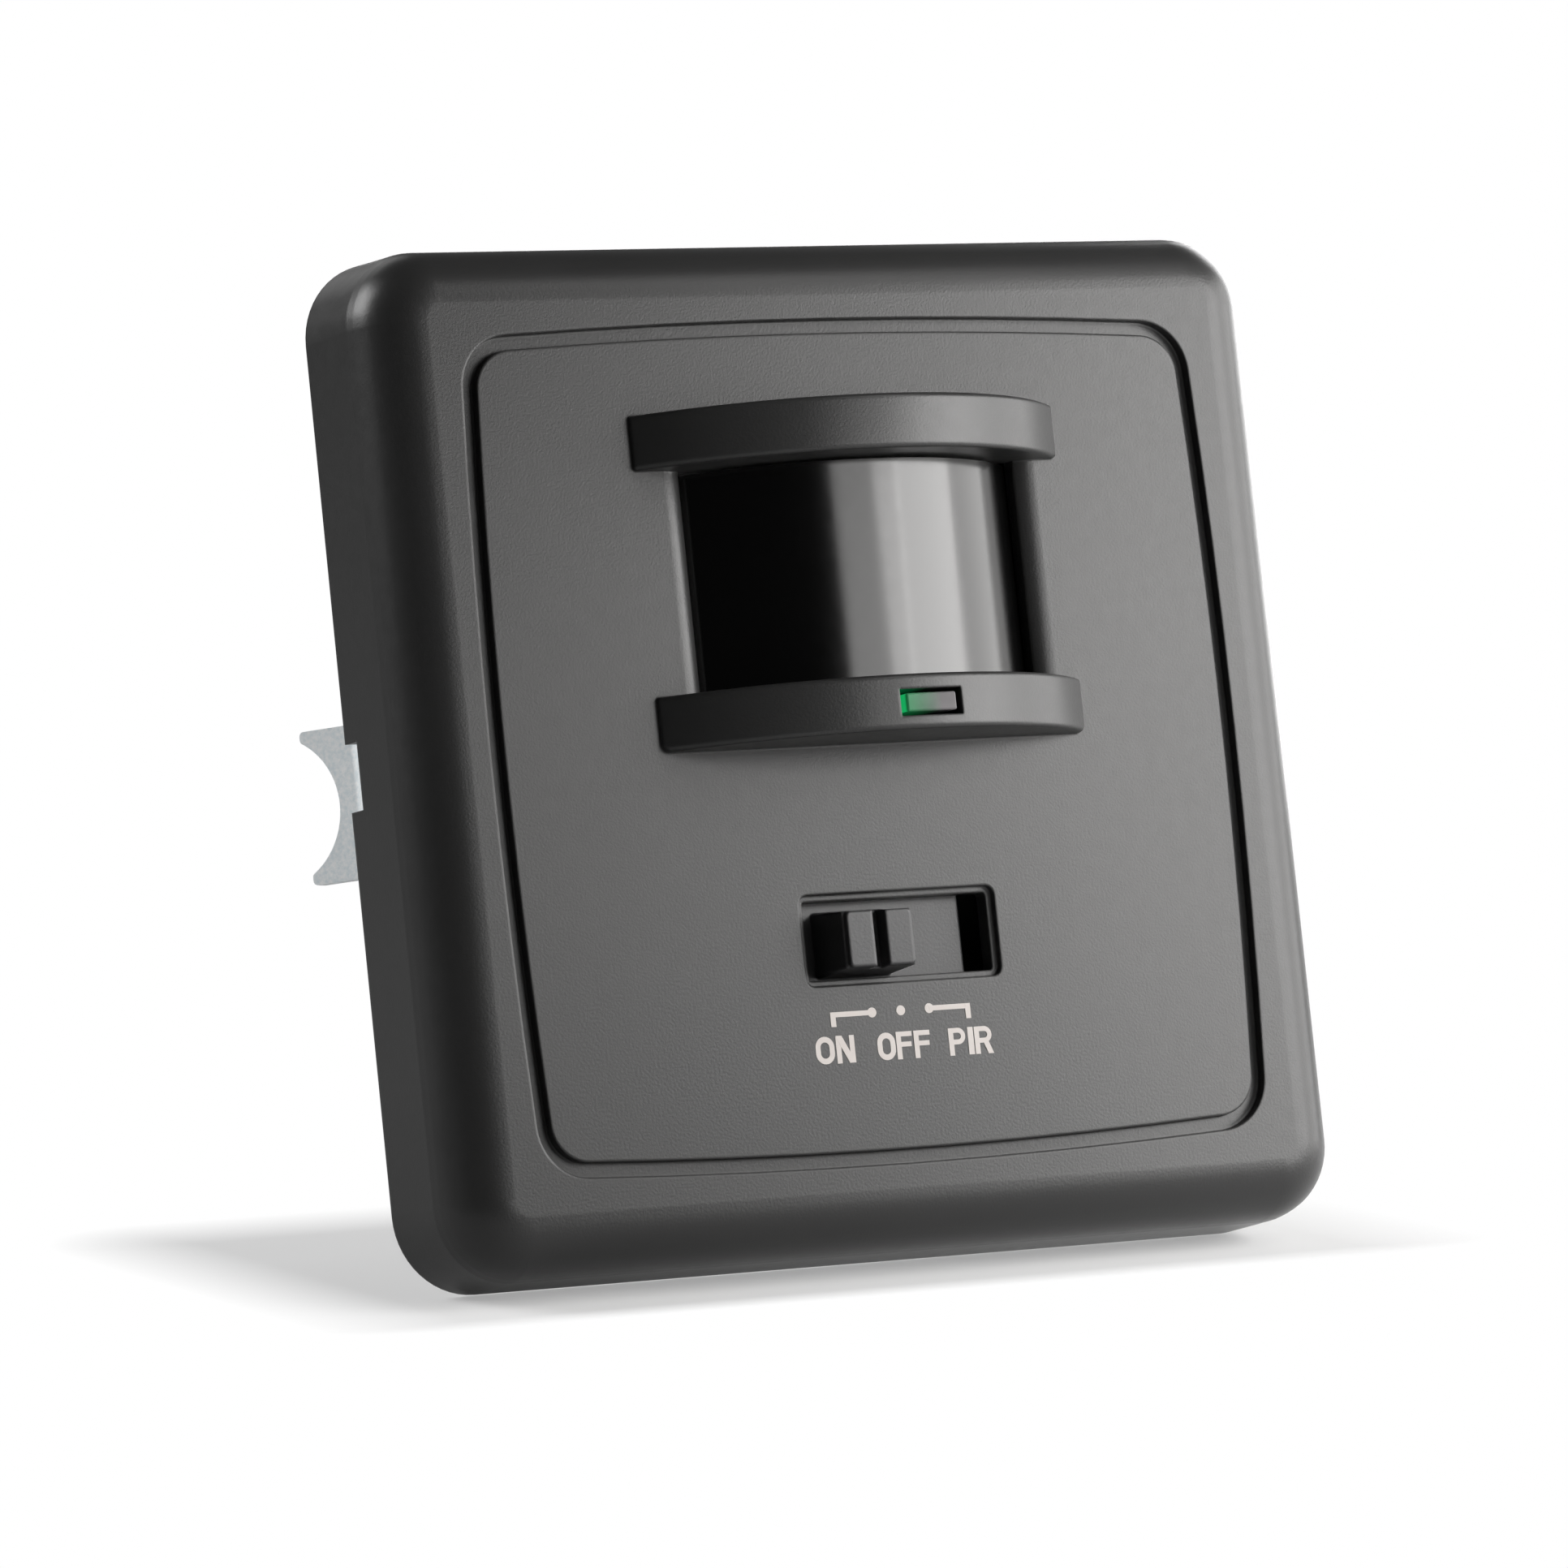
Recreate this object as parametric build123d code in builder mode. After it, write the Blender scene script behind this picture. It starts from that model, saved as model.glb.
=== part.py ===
from build123d import *
import os
from math import cos, radians, sin, tan

os.makedirs("parts", exist_ok=True)

# Flush wall switch with a motion sensor, in millimetres.
# X runs to the right as the user sees it, Y into the wall and Z up.
# The origin is the centre of the wall plane, where the rim of the front cover rests.
# A depth is a distance in front of that plane, so what is in the wall box has negative depths.

# Front cover: outer form
cover_width = 80.0
cover_height = 80.4
cover_depth = 11.2
cover_corner = 6.4
side_band = 6.55
side_draft = 3.0
shoulder_draft = 10.0
shoulder_round = 4.6
front_wall = 2.0
side_wall = 1.8
cavity_round = 3.0
pry_rise = 0.1
pry_height = 5.3
pry_deep = 1.83
pry_width = 7.2

# Decorative groove, a square whose four sides bow outward
groove_margin = 7.32
groove_margin_high = 7.52
groove_bow = 0.93
groove_corner = 3.7
groove_width = 1.15
groove_deep = 0.9

# The two curved bars above and below the lens window
bar_half = 18.9
bar_reach = 8.8
bar_lip = 0.4
bar_shift = 0.3
bar_skin = 1.5
bar_edge_round = 0.4
hood_low = 21.6
hood_high = 25.9
sill_low = -0.37
sill_high = 3.95
sill_corner_round = 0.7
hood_corner_round = 0.3

# Lens window and its rolled side edges
lens_shift = 0.7
window_half = 15.05
window_roll = 2.12
window_roll_start = 16.6

# Lens
lens_radius = 19.87
lens_reach = 4.9
lens_wall = 1.0
lens_gap = 0.25
lens_half = 14.75
lens_flange_half = 16.9
lens_flange_margin = 0.9
flange_gap = 0.2
facet_pitch = 3.4
facet_deep = 0.3
facet_width = 0.6
facet_count = 7

# Retainer frame behind the lens
retainer_thick = 1.4
retainer_half_width = 20.0
retainer_low = 0.0
retainer_high = 25.6
retainer_view_half = 13.4
retainer_view_low = 4.9
retainer_view_high = 20.7
retainer_corner = 1.5
seat_gap = 0.1
stake_radius = 1.0
stake_in = 2.2
stake_cap = 0.8
stake_clearance = 0.08

# Indicator window and light pipe
led_shift = 0.75
led_rise = 1.7
led_window_width = 5.5
led_window_height = 2.1
pipe_width = 4.45
pipe_height = 1.4
pipe_recess = 0.9
pipe_collar_width = 7.1
pipe_collar_height = 2.6
pipe_collar_thick = 1.0
pipe_notch_gap = 0.35
pipe_notch_high = 2.75

# Slot of the slide switch in the cover
slot_shift = 0.8
slot_rise = -15.54
slot_width = 17.5
slot_height = 7.15
slot_corner = 0.8
ledge_width = 0.5
ledge_deep = 0.55

# Slide knob and its travel
knob_shift = -2.5
knob_drop = 0.27
knob_height = 5.03
knob_front = 13.9
knob_draft = 4.0
knob_step = 0.5
knob_step_drop = 0.45
rib_width = 2.3
rib_gap = 1.15
rib_deep = 1.5
knob_corner = 0.35
baffle_half = 9.9
baffle_height = 8.4
baffle_thick = 0.8
knob_travel = 5.2
slide_gap = 0.15
rail_wall = 1.0
rail_lip = 0.8
rail_half = 14.2
stem_width = 4.4
stem_height = 3.0
fork_gap = 0.12
fork_play = 0.4

# Mounting plate and its snap ears
plate_margin = 4.5
plate_margin_high = 4.7
plate_thick = 1.2
plate_corner = 6.0
plate_window_gap = 0.4
box_slot_inset = 5.5
box_slot_length = 5.0
box_slot_radius = 1.75
ear_width = 8.0
ear_top = 5.8
ear_shift = 20.0
ear_window_width = 5.6
ear_window_low = 2.3
ear_window_high = 4.3
ear_relief = 0.8
ear_relief_deep = 2.0
ear_gap = 0.3
ear_corner = 1.0
latch_width = 5.0
latch_bite = 0.8
latch_gap = 0.2
latch_foot = 0.8
latch_top = 6.0
stud_radius = 1.4
stud_inset = 4.0
stud_gap = 0.1
stud_flare = 40.0
stud_flare_deep = 0.65
stud_flush = 0.05

# Rear housing, which goes into a round wall box of 60
body_side = 50.0
body_radius_share = 0.57
body_deep = 30.0
body_wall = 1.6
body_floor = 1.6
body_rim_chamfer = 1.0
channel_share = 0.14
flange_reach = 1.5
flange_corner = 4.0
flange_thick = 1.6
boss_radius = 2.2
boss_inset = 1.8
boss_inset_high = 2.1
boss_hole = 1.15
boss_hole_deep = 7.0
pad_inset = 1.2
pad_low = -10.8
pad_high = 12.2
pad_side = 1.6

# Inner cover over the electronics
inner_margin = 1.5
inner_margin_high = 0.5
inner_corner = 3.0
inner_thick = 1.2
inner_notch_half = 4.4
inner_notch_gap = 0.2
view_half = 10.2
view_low = 5.2
view_high = 20.4
view_rim = 1.0
view_rim_rise = 1.1
stem_slot_gap = 0.6
pipe_hole_gap = 0.35
dial_hole_gap = 0.3
post_radius = 2.2

# Circuit boards
board_thick = 1.6
board_gap = 0.4
board_gap_high = 2.4
board_corner = 1.0
board_face = -9.0
power_face = -25.8
power_low = -12.0
boss_clearance = 0.25
lead_gap = 0.1
lead_sides = 6
trimmer_pin_half = 2.5

# Spreader claws
claw_rise = 1.2
claw_thick = 1.2
claw_height = 12.45
claw_tab_height = 9.0
claw_tab_depth = 6.0
claw_neck = 3.0
claw_tab_gap = 0.3
claw_reach = 4.2
claw_splay_reach = 2.8
claw_tip_depth = 30.5
claw_splay = 35.0
claw_bend = 0.9
claw_bite_deep = 3.09
claw_bite_half = 5.36
claw_tip_round = 0.38
claw_gap = 1.0
shelf_reach = 0.9
shelf_thick = 1.5
shelf_gap = 0.3
shelf_half = 4.0

# Claw screws
claw_screw_inset = 4.0
claw_screw_radius = 1.5
claw_screw_head = 2.7
claw_screw_head_high = 2.0
claw_screw_end = 14.0
claw_screw_gap = 0.1
claw_hole_play = 0.4
driver_slot_width = 0.8
driver_slot_deep = 1.0
head_round = 0.5
head_gap = 0.3
screw_point = 0.5

# Screws of the inner cover
case_screw_radius = 1.1
case_screw_head = 2.1
case_screw_head_high = 1.6
case_screw_end = -15.4
case_hole_gap = 0.2

# Trimmers
trimmer_x = 12.0
trimmer_z = -5.2
trimmer_side = 6.6
trimmer_high = 4.0
trimmer_bore_deep = 3.2
trimmer_shaft = 1.6
trimmer_running_gap = 0.05
trimmer_edge = 0.3
dial_radius = 2.9
dial_low = 2.5
dial_high = 5.2
dial_slot_width = 0.8
dial_slot_deep = 1.1
dial_slot_half = 2.0
dial_edge = 0.3
dial_nick = 0.6
shaft_end_gap = 0.2

# Mode switch on the sensor board
mode_body_width = 15.0
mode_body_height = 6.4
mode_body_high = 4.4
mode_lever_width = 1.5
mode_lever_height = 1.8
mode_lever_rise = 2.4
mode_carriage_width = 3.1
mode_carriage_height = 4.0
mode_carriage_high = 1.5
mode_cage_wall = 0.7
mode_gap = 0.25
mode_pin_pitch = 2.6
mode_pin_rows = 2.5
mode_pin_columns = 4

# Sensors, lamp and chip
pyro_rise = 12.8
pyro_radius = 4.15
pyro_rim_radius = 4.65
pyro_rim_high = 0.6
pyro_high = 4.4
pyro_cap = 0.4
pyro_opening_width = 4.0
pyro_opening_height = 3.0
pyro_round = 0.4
pyro_filter_thick = 0.5
pyro_filter_margin = 0.6
lead_radius = 0.25
lead_circle = 2.54
lead_end = 1.2
light_sensor_x = -7.0
light_sensor_z = 12.4
light_sensor_radius = 2.5
light_sensor_flat = 2.1
light_sensor_high = 2.1
light_lead_half = 1.7
lamp_radius = 1.5
lamp_rim_radius = 1.9
lamp_rim_high = 1.0
lamp_high = 3.9
lamp_gap = 0.3
lamp_lead_half = 1.27
chip_width = 9.9
chip_height = 3.9
chip_high = 1.5
chip_z = -8.6
chip_stand = 0.1
chip_edge = 0.2
chip_pin_pitch = 1.27
chip_pins = 7
chip_pin_width = 0.42
chip_pin_reach = 1.0
chip_pin_high = 0.8
chip_pin_thick = 0.2

# Pins that join the two boards
link_pins = 5
link_spacing = 2.54
link_x = 14.0
link_z = 4.5
link_radius = 0.35
link_body = 2.4
link_body_high = 2.5
link_end = 0.7

# Power parts
relay_width = 15.2
relay_height = 10.2
relay_high = 12.6
relay_x = -2.9
relay_inset = 6.4
relay_round = 0.5
relay_pin_half = 6.0
relay_pin_rise = 3.6
film_width = 18.0
film_height = 7.0
film_high = 12.0
film_x = -5.5
film_z = 4.4
film_round = 0.6
film_pin_half = 7.5
can_radius = 4.0
can_high = 11.0
can_x = 9.4
can_inset = 8.8
can_groove = 0.3
can_groove_rise = 1.6
can_groove_high = 0.6
can_pin_half = 1.75
can_edge = 0.4
varistor_radius = 4.4
varistor_thick = 3.0
varistor_x = 10.6
varistor_z = 1.5
varistor_stand = 0.8
varistor_edge = 0.8
varistor_pin_half = 2.5
fuse_radius = 2.4
fuse_half = 7.5
fuse_cap = 2.4
fuse_cap_radius = 2.6
fuse_x = -1.5
fuse_glass_inset = 0.2
fuse_z = -7.2
fuse_stand = 0.5
pin_radius = 0.4
pin_through = 0.7
part_stand = 0.1

# Terminal block
pole_count = 3
pole_pitch = 5.6
block_gap = 0.2
block_height = 9.8
block_deep = 11.0
block_end_wall = 0.9
block_floor_gap = 0.1
clamp_width = 4.2
clamp_inset = 2.0
clamp_inset_high = 1.6
clamp_back = -26.6
clamp_long = 6.0
clamp_wall = 0.8
clamp_gap = 0.15
tail_width = 1.2
tail_thick = 0.6
tail_reach = 1.2
wire_inset = 5.6
wire_bore = 1.7
wire_entry = 2.0
wire_entry_flare = 0.5
terminal_screw_radius = 1.3
terminal_screw_head = 1.9
terminal_screw_head_high = 1.3
terminal_screw_in = 1.9
terminal_head_gap = 0.15
terminal_access = 2.2
terminal_bore_gap = 0.1
terminal_head_bore = 2.1
terminal_slot_width = 0.6
terminal_slot_deep = 0.6

# One overrun serves all cuts
overrun = 1.0

# Sizes that follow from the ones above
plate_width = cover_width - 2 * plate_margin
plate_height = cover_height - 2 * plate_margin_high
box_slot_x = plate_width / 2 - box_slot_inset
box_slot_z = plate_height / 2 - box_slot_inset
body_radius = body_side * body_radius_share
channel_floor = body_side / 2 - body_side * channel_share
flange_side = body_side + 2 * flange_reach
stud_place = flange_side / 2 - stud_inset
inner_width = flange_side - 2 * inner_margin
inner_height = flange_side - 2 * inner_margin_high
claw_pivot = channel_floor + claw_tab_gap
claw_screw_x = channel_floor + claw_screw_inset
claw_arm = claw_screw_x + claw_reach
claw_tip = claw_arm + claw_splay_reach
inner_notch_start = claw_screw_x - claw_screw_head - inner_notch_gap
board_width = 2 * (channel_floor - body_wall - board_gap)
board_height = body_side - 2 * (body_wall + board_gap_high)
boss_x = board_width / 2 - boss_inset
boss_z = board_height / 2 - boss_inset_high
pad_x = board_width / 2 - pad_inset
power_high = board_height / 2
relay_z = power_high - relay_inset
can_z = power_high - can_inset
block_low = -(body_side / 2 - body_wall - block_gap)
block_high = block_low + block_height
clamp_low = block_low + clamp_inset
clamp_high = block_high - clamp_inset_high
tail_top = power_low + tail_reach
wire_rise = block_low + wire_inset
terminal_screw_end = clamp_low + terminal_screw_in
inner_face = cover_depth - front_wall
band_inset = side_band * tan(radians(side_draft))
bar_sag = bar_reach - bar_lip
bar_radius = (bar_half**2 + bar_sag**2) / (2 * bar_sag)
bar_centre = cover_depth + bar_reach - bar_radius
lens_centre = cover_depth + lens_reach - lens_radius
lens_low = sill_high + lens_gap
lens_high = hood_low - lens_gap
flange_face = inner_face - flange_gap
flange_back = flange_face - lens_wall
retainer_face = flange_back - seat_gap
retainer_back = retainer_face - retainer_thick
stake_x = retainer_half_width - stake_in
baffle_face = inner_face - flange_gap
baffle_back = baffle_face - baffle_thick
board_back = board_face - board_thick
power_back = power_face - board_thick
body_inside = body_floor - body_deep
flange_front = plate_thick + flange_thick
inner_front = flange_front + inner_thick
channel_half = claw_height / 2 + claw_gap
latch_line = plate_height / 2 + ear_gap
latch_middle = (ear_window_low + ear_window_high) / 2
latch_half = (ear_window_high - ear_window_low) / 2 - latch_gap
cage_top = board_face + mode_body_high
lever_front = cage_top + mode_lever_rise
mode_x = knob_shift + knob_travel / 2
knob_z = slot_rise - knob_drop
knob_width = 2 * rib_width + rib_gap + knob_step
splay_sin = sin(radians(claw_splay))
splay_cos = cos(radians(claw_splay))
claw_knee = claw_tip_depth - (claw_tip - claw_arm) * splay_cos / splay_sin
claw_inner_knee = claw_knee + claw_thick * tan(radians(claw_splay / 2))
bite_radius = (claw_bite_half**2 + claw_bite_deep**2) / (2 * claw_bite_deep)
bite_beyond = bite_radius - claw_bite_deep
pole_places = [(n - (pole_count - 1) / 2) * pole_pitch for n in range(pole_count)]
block_half = pole_count * pole_pitch / 2 + block_end_wall
block_back = body_inside + block_floor_gap
clamp_front = clamp_back + clamp_long
clamp_middle = clamp_back + clamp_long / 2


def ahead(depth):
    """Plane parallel to the wall, facing the room, at a depth in front of the wall."""
    return Plane.XZ.offset(depth)


def corner_places(x, z):
    """The four places at plus or minus x and z."""
    return [(side * x, level * z) for side in (-1, 1) for level in (-1, 1)]


def finish(name, builder):
    """Label a finished sub-part and write it to its own file."""
    builder.part.label = name
    export_step(builder.part, f"parts/{name}.step")


# Curved bar above the lens: a slice of a round disc, cut off by the cover's face
with BuildPart() as hood_bar:
    with BuildSketch(Plane.XY.offset(hood_low)):
        with Locations((bar_shift, -bar_centre)):
            Circle(bar_radius)
    extrude(amount=hood_high - hood_low)
    with BuildSketch(ahead(inner_face + overrun)):
        with Locations((bar_shift, (hood_low + hood_high) / 2)):
            RectangleRounded(2 * bar_half, hood_high - hood_low, hood_corner_round)
    extrude(amount=bar_radius, mode=Mode.INTERSECT)
    curved = hood_bar.faces().filter_by(GeomType.CYLINDER).sort_by(SortBy.AREA)[-1]
    fillet(curved.edges(), bar_edge_round)

# Curved bar below the lens, with softer lower corners
with BuildPart() as sill_bar:
    with BuildSketch(Plane.XY.offset(sill_low)):
        with Locations((bar_shift, -bar_centre)):
            Circle(bar_radius)
    extrude(amount=sill_high - sill_low)
    with BuildSketch(ahead(inner_face + overrun)) as sill_view:
        with Locations((bar_shift, (sill_low + sill_high) / 2)):
            Rectangle(2 * bar_half, sill_high - sill_low)
        fillet(sill_view.vertices().group_by(Axis.Y)[0], sill_corner_round)
        fillet(sill_view.vertices().group_by(Axis.Y)[-1], hood_corner_round)
    extrude(amount=bar_radius, mode=Mode.INTERSECT)
    curved = sill_bar.faces().filter_by(GeomType.CYLINDER).sort_by(SortBy.AREA)[-1]
    fillet(curved.edges(), bar_edge_round)

# Hollow of the cover, with rounded edges towards the front
with BuildPart() as cover_cavity:
    with BuildSketch(ahead(0)):
        RectangleRounded(
            cover_width - 2 * side_wall, cover_height - 2 * side_wall, cover_corner - side_wall
        )
    extrude(amount=inner_face)
    fillet(cover_cavity.faces().sort_by(Axis.Y)[0].edges(), cavity_round)

# Ring that is cut out as the groove, its four sides bowed outward
with BuildPart() as groove_ring:
    for edge, mode in ((groove_width / 2, Mode.ADD), (-groove_width / 2, Mode.SUBTRACT)):
        with BuildSketch(ahead(cover_depth)) as barrel:
            across = cover_width / 2 - groove_margin + edge
            up = cover_height / 2 - groove_margin_high + edge
            end_x = across - groove_bow
            end_z = up - groove_bow
            with BuildLine():
                ThreePointArc((-end_x, end_z), (0, up), (end_x, end_z))
                ThreePointArc((end_x, end_z), (across, 0), (end_x, -end_z))
                ThreePointArc((end_x, -end_z), (0, -up), (-end_x, -end_z))
                ThreePointArc((-end_x, -end_z), (-across, 0), (-end_x, end_z))
            make_face()
            fillet(barrel.vertices(), groove_corner + edge)
        extrude(amount=-groove_deep, mode=mode)

# Front cover: one moulding with the groove, the bars, the lens window and the switch slot
with BuildPart() as front_cover:
    with BuildSketch(ahead(0)):
        RectangleRounded(cover_width, cover_height, cover_corner)
    extrude(amount=side_band, taper=side_draft)
    with BuildSketch(ahead(side_band)):
        RectangleRounded(
            cover_width - 2 * band_inset, cover_height - 2 * band_inset, cover_corner - band_inset
        )
    extrude(amount=cover_depth - side_band, taper=shoulder_draft)
    fillet(front_cover.faces().sort_by(Axis.Y)[0].edges(), shoulder_round)
    add(cover_cavity.part, mode=Mode.SUBTRACT)
    add(hood_bar.part)
    add(sill_bar.part)
    add(groove_ring.part, mode=Mode.SUBTRACT)
    # Bars are hollow behind, so that their walls stay even
    for low, high in ((hood_low, hood_high), (sill_low, sill_high)):
        with BuildSketch(Plane.XY.offset(low + bar_skin)):
            with Locations((bar_shift, -bar_centre)):
                Circle(bar_radius - bar_skin)
            with Locations((bar_shift, -(inner_face - overrun))):
                Rectangle(
                    2 * (bar_half - 2 * bar_skin),
                    bar_radius,
                    align=(Align.CENTER, Align.MAX),
                    mode=Mode.INTERSECT,
                )
        extrude(amount=high - low - 2 * bar_skin, mode=Mode.SUBTRACT)
    # Lens window between the bars, its sides rolled over towards the lens
    with BuildSketch(Plane.XY.offset(sill_high)):
        with Locations((lens_shift, -cover_depth)):
            Rectangle(2 * window_roll_start, 2 * window_roll)
        with Locations(
            *[(lens_shift + s * window_roll_start, -(cover_depth - window_roll)) for s in (-1, 1)]
        ):
            Circle(window_roll, mode=Mode.SUBTRACT)
        with Locations((lens_shift, -(cover_depth - front_wall / 2))):
            Rectangle(2 * window_half, front_wall + 2 * overrun)
    extrude(amount=hood_low - sill_high, mode=Mode.SUBTRACT)
    # Slot of the slide switch, with a sunken ledge round it
    with BuildSketch(ahead(cover_depth)):
        with Locations((slot_shift, slot_rise)):
            RectangleRounded(slot_width, slot_height, slot_corner)
    extrude(amount=-ledge_deep, mode=Mode.SUBTRACT)
    with BuildSketch(ahead(cover_depth)):
        with Locations((slot_shift, slot_rise)):
            RectangleRounded(
                slot_width - 2 * ledge_width, slot_height - 2 * ledge_width, slot_corner - ledge_width
            )
    extrude(amount=-(front_wall + overrun), mode=Mode.SUBTRACT)
    # Indicator window through the lower bar
    with BuildSketch(ahead(0)):
        with Locations((led_shift, led_rise)):
            Rectangle(led_window_width, led_window_height)
    extrude(amount=cover_depth + bar_reach + overrun, mode=Mode.SUBTRACT)
    # Rails with lips that carry the sliding baffle
    for side in (-1, 1):
        rail_edge = slot_rise + side * (baffle_height / 2 + slide_gap)
        rail_align = Align.MIN if side > 0 else Align.MAX
        with BuildSketch(ahead(inner_face)):
            with Locations((0, rail_edge)):
                Rectangle(2 * rail_half, rail_wall, align=(Align.CENTER, rail_align))
        extrude(amount=-(flange_gap + baffle_thick + slide_gap + rail_wall))
        with BuildSketch(ahead(baffle_back - slide_gap)):
            with Locations((0, rail_edge - side * rail_lip)):
                Rectangle(2 * rail_half, rail_lip + rail_wall, align=(Align.CENTER, rail_align))
        extrude(amount=-rail_wall)
    # Stakes that hold the lens retainer, with swaged heads
    stake_places = [
        (lens_shift + side * stake_x, level)
        for side in (-1, 1)
        for level in (retainer_low + stake_in, retainer_high - stake_in)
    ]
    with BuildSketch(ahead(inner_face)):
        with Locations(*stake_places):
            Circle(stake_radius)
    extrude(amount=-(inner_face - retainer_back))
    with BuildSketch(ahead(retainer_back)):
        with Locations(*stake_places):
            Circle(stake_radius + stake_cap)
    extrude(amount=-stake_cap)
    # Latch ribs that snap into the ears of the mounting plate
    latch_reach = cover_height / 2 - side_wall / 2 - latch_line
    for level in (-1, 1):
        rib_align = Align.MIN if level > 0 else Align.MAX
        for side in (-1, 1):
            with BuildSketch(ahead(latch_foot)):
                with Locations((side * ear_shift, level * latch_line)):
                    Rectangle(latch_width, latch_reach, align=(Align.CENTER, rib_align))
            extrude(amount=latch_top - latch_foot)
            with BuildSketch(Plane.YZ.offset(side * ear_shift - latch_width / 2)):
                with BuildLine():
                    Polyline(
                        (-(latch_middle - latch_half), level * latch_line),
                        (-(latch_middle + latch_half), level * (latch_line - latch_bite)),
                        (-(latch_middle + latch_half), level * (latch_line + latch_bite)),
                        (-(latch_middle - latch_half), level * (latch_line + latch_bite)),
                        close=True,
                    )
                make_face()
            extrude(amount=latch_width)
    # Notch in the left rim for prying the cover off
    with BuildSketch(ahead(0)):
        with Locations((-cover_width / 2, pry_rise)):
            Rectangle(pry_width, pry_height)
    extrude(amount=pry_deep, mode=Mode.SUBTRACT)
finish("front_cover", front_cover)

# Lens: an upright curved shell with a flange, segmented behind
with BuildPart() as fresnel_lens:
    with BuildSketch(Plane.XY.offset(lens_low)):
        with Locations((lens_shift, -lens_centre)):
            Circle(lens_radius)
        with Locations((lens_shift, -flange_back)):
            Rectangle(
                2 * lens_half, lens_radius, align=(Align.CENTER, Align.MAX), mode=Mode.INTERSECT
            )
    extrude(amount=lens_high - lens_low)
    with BuildSketch(ahead(flange_back)):
        with Locations((lens_shift, (lens_low + lens_high) / 2)):
            Rectangle(2 * lens_flange_half, lens_high - lens_low + 2 * lens_flange_margin)
    extrude(amount=lens_wall)
    with BuildSketch(Plane.XY.offset(lens_low + lens_wall / 2)):
        with Locations((lens_shift, -lens_centre)):
            Circle(lens_radius - lens_wall)
        with Locations((lens_shift, -(flange_back - overrun))):
            Rectangle(
                2 * (lens_half - lens_wall),
                lens_radius,
                align=(Align.CENTER, Align.MAX),
                mode=Mode.INTERSECT,
            )
    extrude(amount=lens_high - lens_low - lens_wall, mode=Mode.SUBTRACT)
    # Upright prism grooves behind the shell
    with BuildSketch(Plane.XY.offset(lens_low + lens_wall / 2)):
        for n in range(facet_count):
            facet_x = (n - (facet_count - 1) / 2) * facet_pitch
            inner_radius = lens_radius - lens_wall
            facet_y = (inner_radius**2 - facet_x**2) ** 0.5
            with Locations((lens_shift + facet_x, -(lens_centre + facet_y))):
                Rectangle(facet_width, 2 * facet_deep)
    extrude(amount=lens_high - lens_low - lens_wall, mode=Mode.SUBTRACT)
finish("fresnel_lens", fresnel_lens)

# Retainer frame that presses the lens flange and the collar of the light pipe to the cover
with BuildPart() as lens_retainer:
    with BuildSketch(ahead(retainer_back)):
        with Locations((lens_shift, (retainer_low + retainer_high) / 2)):
            RectangleRounded(
                2 * retainer_half_width, retainer_high - retainer_low, retainer_corner
            )
        with Locations((lens_shift, (retainer_view_low + retainer_view_high) / 2)):
            Rectangle(
                2 * retainer_view_half, retainer_view_high - retainer_view_low, mode=Mode.SUBTRACT
            )
        with Locations((led_shift, retainer_low)):
            Rectangle(
                pipe_width + 2 * pipe_notch_gap,
                2 * (pipe_notch_high - retainer_low),
                mode=Mode.SUBTRACT,
            )
        with Locations(*stake_places):
            Circle(stake_radius + stake_clearance, mode=Mode.SUBTRACT)
    extrude(amount=retainer_thick)
finish("lens_retainer", lens_retainer)

# Light pipe of the indicator, with a collar behind the cover
with BuildPart() as led_light_pipe:
    pipe_front = bar_centre + (bar_radius**2 - (led_shift - bar_shift) ** 2) ** 0.5 - pipe_recess
    pipe_end = board_face + lamp_high + lamp_gap
    with BuildSketch(ahead(pipe_end)):
        with Locations((led_shift, led_rise)):
            Rectangle(pipe_width, pipe_height)
    extrude(amount=pipe_front - pipe_end)
    with BuildSketch(ahead(flange_back)):
        with Locations((led_shift, led_rise)):
            Rectangle(pipe_collar_width, pipe_collar_height)
    extrude(amount=pipe_collar_thick)
finish("led_light_pipe", led_light_pipe)

# Slide knob: two ribs on a stepped block, a baffle that covers the slot and a forked stem
with BuildPart() as slide_knob:
    with BuildSketch(ahead(baffle_back)):
        with Locations((knob_shift, slot_rise)):
            Rectangle(2 * baffle_half, baffle_height)
    extrude(amount=baffle_thick)
    with BuildSketch(ahead(baffle_face)):
        with Locations((knob_shift, knob_z)):
            RectangleRounded(knob_width + knob_step, knob_height, knob_corner)
    extrude(amount=knob_front - knob_step_drop - baffle_face, taper=knob_draft)
    block_top_height = knob_height - 2 * (knob_front - baffle_face) * tan(radians(knob_draft))
    with BuildSketch(ahead(knob_front - 2 * knob_step_drop)):
        with Locations((knob_shift, knob_z)):
            RectangleRounded(2 * rib_width + rib_gap, block_top_height, knob_corner)
    extrude(amount=2 * knob_step_drop)
    with BuildSketch(ahead(knob_front)):
        with Locations((knob_shift, knob_z)):
            Rectangle(rib_gap, 2 * knob_height)
    extrude(amount=-rib_deep, mode=Mode.SUBTRACT)
    # Stem with the fork that takes the lever of the mode switch
    stem_end = cage_top + fork_play
    with BuildSketch(ahead(stem_end)):
        with Locations((knob_shift, knob_z)):
            Rectangle(stem_width, stem_height)
    extrude(amount=baffle_back - stem_end)
    with BuildSketch(ahead(stem_end)):
        with Locations((knob_shift, knob_z)):
            Rectangle(mode_lever_width + 2 * fork_gap, stem_height + overrun)
    extrude(amount=lever_front + fork_play - stem_end, mode=Mode.SUBTRACT)
finish("slide_knob", slide_knob)

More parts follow.
